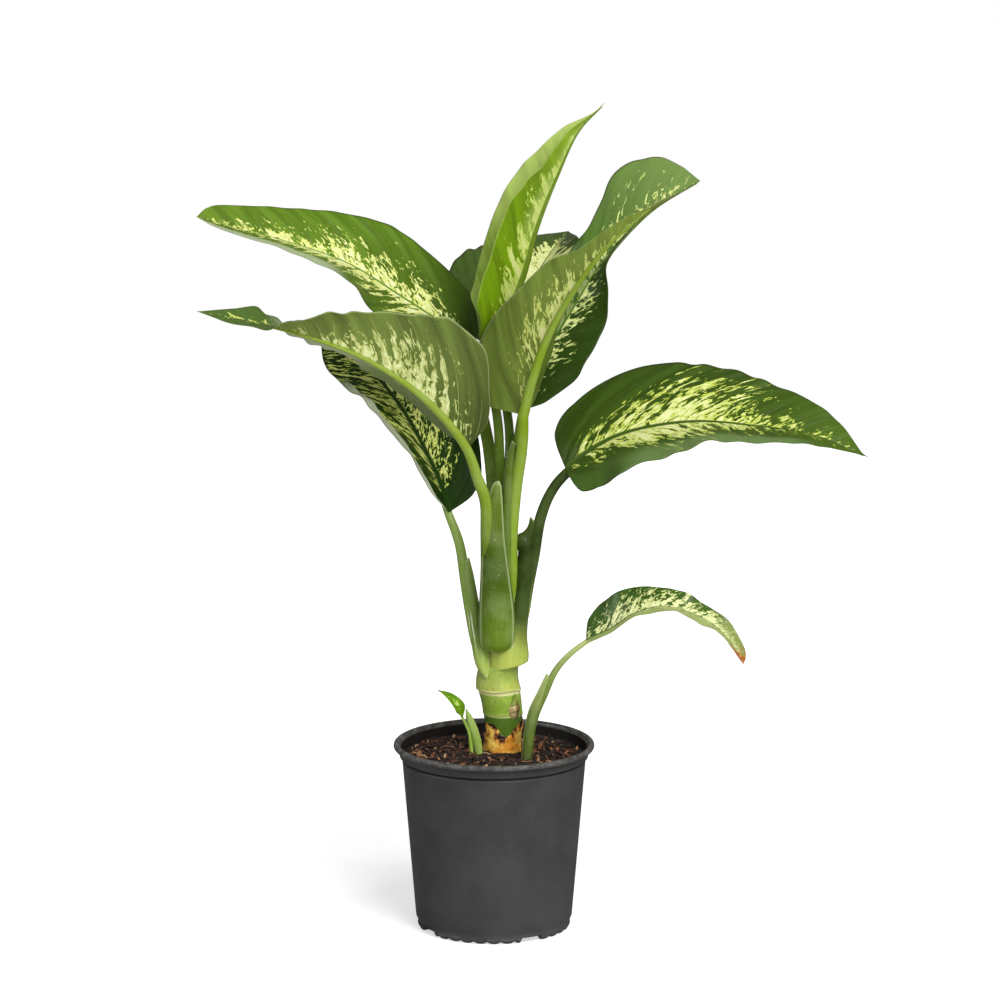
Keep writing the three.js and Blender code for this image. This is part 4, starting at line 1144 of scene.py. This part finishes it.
def pot_piece():
    """The pot's wall: a rounded profile turned about Z, with its foot scalloped and notched.

    The foot's lowest edge rises between the scallops as a power of 1 - |sin(n a)|, for n half the count of
    scallops and angle a. It rises by the notch's height at a drain notch. Both fade out with height.
    """
    band_top = POT_HEIGHT - RIM_BEAD
    bead = [(RIM_RADIUS - RIM_BEAD + RIM_BEAD * math.cos(a), band_top + RIM_BEAD * math.sin(a))
            for a in np.radians(np.linspace(-80, 175, 16))]
    lower = rounded((FOOT_INSIDE - 1, FLOOR_HEIGHT, 1.0), (FOOT_INSIDE, 0, 0.6), (FOOT_RADIUS - 2, 0, 1.6),
                    (FOOT_RADIUS, 3.5, 3.0))
    heights = np.linspace(10, STEP_HEIGHT - 4, 24)
    wall = np.stack([wall_radius(heights), heights], axis=-1)
    upper = rounded((WALL_TOP_RADIUS, STEP_HEIGHT, 0.8), (BAND_RADIUS, STEP_HEIGHT + 1.2, 0.8),
                    (BAND_RADIUS + 0.6, band_top - RIM_BEAD + 0.3, 0.5))
    inside_top = rounded((BAND_RADIUS - WALL + 0.4, band_top - 1.0, 0.6),
                         (BAND_RADIUS - WALL, STEP_HEIGHT + 1, 0.6),
                         (WALL_TOP_RADIUS - WALL - 0.2, STEP_HEIGHT - 1.5, 0.6))
    inner = wall[::-1] - (WALL, 0)
    floor = [(wall_radius(FLOOR_HEIGHT) - WALL - FLOOR_OVERLAP, FLOOR_TOP),
             (FOOT_INSIDE - FLOOR_OVERLAP, FLOOR_TOP), (FOOT_INSIDE - FLOOR_OVERLAP, FLOOR_HEIGHT)]
    profile = np.concatenate([lower, wall, upper, bead, inside_top, inner, floor])
    turn = bearings(POT_AROUND)
    lift = SCALLOP_DEPTH * (1 - np.abs(np.sin(SCALLOPS / 2 * turn))) ** 1.3
    for degrees in NOTCH_ANGLES:
        distance = off_bearing(turn, math.radians(degrees - 90)) * FOOT_RADIUS
        slope = np.clip((NOTCH_WIDTH / 2 + NOTCH_SLOPE / 2 - distance) / NOTCH_SLOPE, 0, 1)
        lift = np.maximum(lift, NOTCH_HEIGHT * slope)
    points = spun(profile, turn)
    foot = (profile[:, 0] > FOOT_INSIDE - 0.5) * np.clip(1 - profile[:, 1] / FOOT_FADE, 0, 1)
    points[..., 2] += foot[:, None] * lift
    quads = grid_quads(len(profile) + 1, POT_AROUND, wrap=True) % (len(profile) * POT_AROUND)
    return add_piece("pot_wall", points, [quads[:, ::-1]], pot_material(), ["pot"])


def pot_floor_piece():
    """The pot's floor: a plate with a round pad in the middle down to the ground and six drain holes.

    The plate is a set of sectors, one for each hole. In a sector, each point lies between the hole's circle
    and the sector's outline, along the straight line that joins them.
    """
    inner = CENTRE_PAD_RADIUS + 2
    outer = FOOT_INSIDE - FLOOR_OVERLAP + 0.1
    half = math.pi / DRAIN_HOLES
    corners = np.array([(inner, -half), (inner, half), (outer, half), (outer, -half), (inner, -half)])
    side = np.linspace(0, 1, 9)[:-1, None]
    reach, angle = np.concatenate([a + (b - a) * side for a, b in zip(corners, corners[1:])]).T
    outline = np.stack([reach * np.cos(angle), reach * np.sin(angle)], axis=-1)
    bearing = np.arctan2(outline[:, 1], outline[:, 0] - DRAIN_CIRCLE)
    circle = DRAIN_RADIUS * np.stack([np.cos(bearing), np.sin(bearing)], axis=-1) + (DRAIN_CIRCLE, 0)
    share = np.linspace(0, 1, 5)[:, None, None]
    sector = circle[None] * (1 - share) + outline[None] * share
    rows, columns = sector.shape[:2]
    count = rows * columns
    points, faces = [], []
    for k in range(DRAIN_HOLES):
        turned = 2 * half * (k + 0.5)
        matrix = [[math.cos(turned), math.sin(turned)], [-math.sin(turned), math.cos(turned)]]
        start = 2 * k * count
        for height in (FLOOR_TOP, FLOOR_HEIGHT):
            level = np.full((rows, columns, 1), height)
            points.append(np.concatenate([sector @ matrix, level], axis=-1).reshape(-1, 3))
        quads = grid_quads(rows, columns, start, wrap=True)
        ring = start + np.arange(columns)
        walls = np.stack([ring, np.roll(ring, -1), np.roll(ring + count, -1), ring + count], axis=-1)
        faces.extend([quads, (quads + count)[:, ::-1], walls])
    pad = rounded((inner + 0.1, FLOOR_TOP, 0.3), (inner + 0.1, FLOOR_HEIGHT - 0.2, 0.5),
                  (CENTRE_PAD_RADIUS, 0, 0.8))
    points.append(spun(pad, bearings(PAD_AROUND)).reshape(-1, 3))
    faces.extend(tube_faces(len(pad), PAD_AROUND, 2 * DRAIN_HOLES * count))
    plastic = bpy.data.materials["pot_plastic"]
    return add_piece("pot_floor", np.concatenate(points), faces, plastic)


def pot_material():
    """Dark grey moulded plastic: satin, with mottling and fine scuffs.

    The rim is lighter, dusty and with a painted sheen; the inner wall above the soil is darker and browner,
    with painted shade and a dusting of soil.
    """
    material, tree, shader = new_material("pot_plastic")
    place = object_coords(tree)
    z = separate(place)[2]
    masks = mottled(place, 24.0, 380.0, 0.68)
    dust_and_sheen = noise(place, 120.0, 4.0, 0.65)
    level = term(tree, "ShaderNodeVectorMath", {0: place, 1: (1, 1, 0)}, operation="MULTIPLY")
    reach = term(tree, "ShaderNodeVectorMath", {0: level}, "Value", operation="LENGTH")
    inside = remap(reach, (BAND_RADIUS - 1.2) * MM, (BAND_RADIUS - 0.4) * MM, 0.85, 0.0)
    above = remap(z, (STEP_HEIGHT - 2) * MM, (STEP_HEIGHT + 1) * MM)
    rim = remap(z, (POT_HEIGHT - 6) * MM, (POT_HEIGHT - 2) * MM)
    colour = blend(masks["Blotch"], 0x3E3E3E, 0x474747)
    # Painted sheen: the rim's top is lighter, in dusty patches.
    colour = blend(rim, colour, blend(remap(dust_and_sheen, 0.4, 0.62), 0x454341, 0x686662))
    # Painted shade: the inner wall above the soil is darkened, with a brown tint from a dusting of soil.
    colour = blend(inside * above, colour, 0x1E1614)
    colour = blend(masks["Speck"] * 0.06, colour, 0x8A8882)
    gloss = remap(dust_and_sheen, 0.3, 0.7, 0.38, 0.5)
    finish_surface(shader, colour, gloss, masks["Grain"], 0.15, 0.0003, specular=0.22)
    return material


def soil_top(x, y):
    """The soil's height: a dome, with lumps of three sizes."""
    place = np.stack([x, y, np.zeros_like(x)], axis=-1)
    dome = SOIL_DOME * (1 - (x * x + y * y) / (wall_radius(SOIL_EDGE_HEIGHT) - WALL) ** 2)
    coarse, middle, fine = (lumps(place, *row) for row in SOIL_LUMPS)
    return SOIL_EDGE_HEIGHT + dome + (coarse + middle) + fine


def soil_piece():
    """The soil's plug: a plain base and wall, and rings in to the middle at the soil's height."""
    base_height = FLOOR_TOP + SOIL_BASE_GAP
    base_radius = wall_radius(FLOOR_HEIGHT) - WALL - SOIL_BASE_INSET
    walls = [((1 - SOIL_MIDDLE) * base_radius, base_height), (base_radius, base_height),
             (wall_radius(SOIL_LOW_WALL) - WALL - SOIL_GAP, SOIL_LOW_WALL)]
    reach = wall_radius(SOIL_EDGE_HEIGHT) - WALL - SOIL_GAP
    radius = reach * (1 - np.linspace(0, 1 - SOIL_MIDDLE, SOIL_RINGS))
    profile = np.concatenate([walls, np.stack([radius, np.zeros_like(radius)], axis=-1)])
    points = spun(profile, bearings(SOIL_AROUND))
    top = points[len(walls):]
    top[..., 2] = soil_top(top[..., 0], top[..., 1])
    faces = tube_faces(len(points), SOIL_AROUND, reverse=True)
    return add_piece("soil_plug", points, faces, soil_material(), ["soil"])


def soil_material():
    """Dark, crumbly potting mix: lighter crumbs, painted shade in the gaps between them, and browner
    patches.
    """
    material, tree, shader = new_material("soil")
    place = object_coords(tree)
    crumbs = noise(place, 420.0, 5.0, 0.7)
    tone = noise(place, 90.0, 3.0, 0.6)
    # Painted shade: the crumbs' low places, which the bump sinks, are darkest.
    colour = blend(remap(crumbs, 0.4, 0.7), 0x0C0703, 0x3A261A)
    colour = blend(remap(tone, 0.5, 0.75, 0.0, 0.4), colour, 0x4E2E1C)
    finish_surface(shader, colour, 0.95, crumbs, 0.9, 0.0015)
    return material


# Stems that come out of the soil: x, y and radius.
STEMS_IN_SOIL = [(7, 0, 17.5), (26, -26, 7.0), (-18, -16, 2.8), (-12.5, -12, 4.2)]

# Loose pieces on the soil: count, size, length over width, bend, tones and seed.
BROWNS = (0x160B06, 0x30190F, 0x6A3A26, 0xA87048, 0xE0B888)
CHIPS = {
    "soil_chips_large": (190, 6.0, 4.6, 0.7, BROWNS, 21),
    "soil_chips_middle": (520, 2.9, 3.2, 0.6, BROWNS, 25),
    "soil_chips_small": (900, 1.4, 2.0, 0.3, BROWNS[:4], 22),
    "soil_fibres": (260, 4.2, 9.0, 0.45, (0x3A2415, 0x8A6240, 0x5A3620), 23),
    "soil_grit": (40, 0.8, 1.2, 0.05, (0xD8D2C6, 0xB0A898, 0xE8E4DA), 24),
}


def chip_piece(name, count, size, stretch, bend, tones, seed):
    """Loose pieces lying on the soil.

    Each is one closed shape of a few dozen faces: an oval section carried along a short bent line, with
    its own length, width, turn, tilt and tone, drawn from a seeded generator.
    """
    draw = np.random.default_rng(seed)
    reach = wall_radius(SOIL_EDGE_HEIGHT) - WALL - 5
    radius = reach * np.sqrt(draw.uniform(0, 1, count * 2))
    angle = draw.uniform(0, 2 * np.pi, count * 2)
    x = radius * np.cos(angle)
    y = radius * np.sin(angle)
    clear = np.ones(count * 2, dtype=bool)
    for stem_x, stem_y, stem_radius in STEMS_IN_SOIL:
        clear &= np.hypot(x - stem_x, y - stem_y) > stem_radius + size * 0.6
    x = x[clear][:count, None, None]
    y = y[clear][:count, None, None]
    chips = (len(x), 1, 1)
    rows, columns = 7, 8
    t = np.linspace(-1, 1, rows)[None, :, None]
    turn = bearings(columns)[None, None, :]
    length = size * draw.uniform(0.6, 1.5, chips)
    wide = length / stretch * draw.uniform(0.7, 1.3, chips)
    thick = wide * draw.uniform(0.25, 0.6, chips)
    curve = bend * draw.uniform(-1.0, 1.0, chips) * length
    profile = np.sqrt(np.clip(1.02 - t ** 2, 0.05, 1))
    ragged = draw.uniform(0.75, 1.2, (len(x), rows, columns))
    along = length * t
    across = wide * np.cos(turn) * profile * ragged + 0.3 * curve * t ** 2
    up = thick * np.sin(turn) * profile * ragged + curve * (1 - t ** 2)
    heading = draw.uniform(0, 2 * np.pi, chips)
    tilt = draw.normal(0, 0.3, chips)
    raised = along * np.sin(tilt) + up * np.cos(tilt)
    forward = along * np.cos(tilt) - up * np.sin(tilt)
    rest = soil_top(x, y) + thick * draw.uniform(-0.1, 0.9, chips)
    points = np.stack([x + forward * np.cos(heading) - across * np.sin(heading),
                       y + forward * np.sin(heading) + across * np.cos(heading), rest + raised], axis=-1)
    starts = np.arange(len(x))[:, None, None] * rows * columns
    quads, ends = (np.asarray(block) + starts for block in tube_faces(rows, columns))
    tone = np.repeat(draw.uniform(0, 1, len(x)) ** 1.7, rows * columns)
    return add_piece(name, points, [quads.reshape(-1, 4), ends.reshape(-1, columns)],
                     chip_material(name, tones), values={"tone": tone})


def chip_material(name, tones):
    """Loose pieces: each has its own tone from a ramp, with dark flecks."""
    material, tree, shader = new_material(name)
    ramp = node(tree, "ShaderNodeValToRGB", {0: attribute(tree, "tone")})
    stops = ramp.color_ramp.elements
    stops[0].color = srgb(tones[0])
    stops[1].color = srgb(tones[-1])
    for i, code in enumerate(tones[1:-1], start=1):
        stops.new(i / (len(tones) - 1)).color = srgb(code)
    flecks = noise(object_coords(tree), 500.0, 4.0, 0.7)
    colour = blend(remap(flecks, 0.4, 0.6, 0.55, 0.0), Term(ramp.outputs[0]), 0x120A05)
    finish_surface(shader, colour, 0.85, flecks, 0.6, 0.001)
    return material


# Camera, lights and backdrop.
CAMERA_PLACE = (0.0051, -5.817, 1.643)
CAMERA_PITCH = 12.35
CAMERA_LENS = 255.3
SENSOR = 36.0
SKY_LIGHT = 0.18
FLOOR_GLOW = 0.6


def add_camera():
    """The camera at the photograph's viewing angle, far off with a long lens."""
    data = bpy.data.cameras.new("photo_camera")
    data.lens = CAMERA_LENS
    data.sensor_width = SENSOR
    data.clip_end = 50
    camera = bpy.data.objects.new("photo_camera", data)
    camera.location = CAMERA_PLACE
    camera.rotation_euler = (math.radians(90 - CAMERA_PITCH), 0, 0)
    bpy.context.scene.collection.objects.link(camera)
    bpy.context.scene.camera = camera


def add_sun(name, bearing, height, power, spread, matt=True, shine=True):
    """A soft sun from a bearing (degrees from the camera's side, to the right) and a height in degrees.

    It can be left out of plain reflection (matt) or of highlights (shine).
    """
    data = bpy.data.lights.new(name, "SUN")
    data.energy = power
    data.angle = math.radians(spread)
    sun = bpy.data.objects.new(name, data)
    sun.rotation_euler = (math.radians(90 - height), 0, math.radians(bearing))
    sun.visible_diffuse = matt
    sun.visible_glossy = shine
    bpy.context.scene.collection.objects.link(sun)


def add_floor():
    """A white floor and a white sky, each brighter to look at than as a light."""
    bpy.ops.mesh.primitive_plane_add(size=4, location=(0, 0, -0.0002))
    floor = bpy.context.object
    floor.name = "studio_floor"
    floor.visible_glossy = False
    material, tree, shader = new_material("studio_floor")
    seen = term(tree, "ShaderNodeLightPath", output="Is Camera Ray")
    shader.inputs["Base Color"].default_value = (0.8, 0.8, 0.8, 1)
    shader.inputs["Roughness"].default_value = 1.0
    shader.inputs["Specular IOR Level"].default_value = 0.0
    shader.inputs["Emission Color"].default_value = (1, 1, 1, 1)
    set_input(shader.inputs["Emission Strength"], seen * FLOOR_GLOW)
    floor.data.materials.append(material)
    world = bpy.data.worlds.new("studio")
    world.use_nodes = True
    sky = world.node_tree.nodes["Background"]
    seen = term(world.node_tree, "ShaderNodeLightPath", output="Is Camera Ray")
    sky.inputs["Color"].default_value = (1, 1, 1, 1)
    set_input(sky.inputs["Strength"], blend_value(seen, SKY_LIGHT, 1.0))
    bpy.context.scene.world = world
    bpy.context.scene.view_settings.view_transform = "Standard"


add_camera()
add_sun("key", 32, 50, 2.5, 35)
add_sun("fill", 5, 15, 1.1, 60, shine=False)
add_sun("side", -75, 25, 1.3, 15, matt=False)
add_floor()
pot_piece()
pot_floor_piece()
soil_piece()
for name, values in CHIPS.items():
    chip_piece(name, *values)
cane_piece()
bud_piece()
for name, tones in STALK_TONES.items():
    stalk_piece(name + "_skin", [name], tones, [name])
stalk_piece("inner_stalks_skin", INNER, INNER_SHADED_TONES, ["inner_stalks"])
for number, (name, leaf) in enumerate(LEAVES.items(), start=1):
    blade_piece(name, LEAF_DEFAULTS | leaf, LOOK_DEFAULTS | LEAF_LOOKS[name], number)
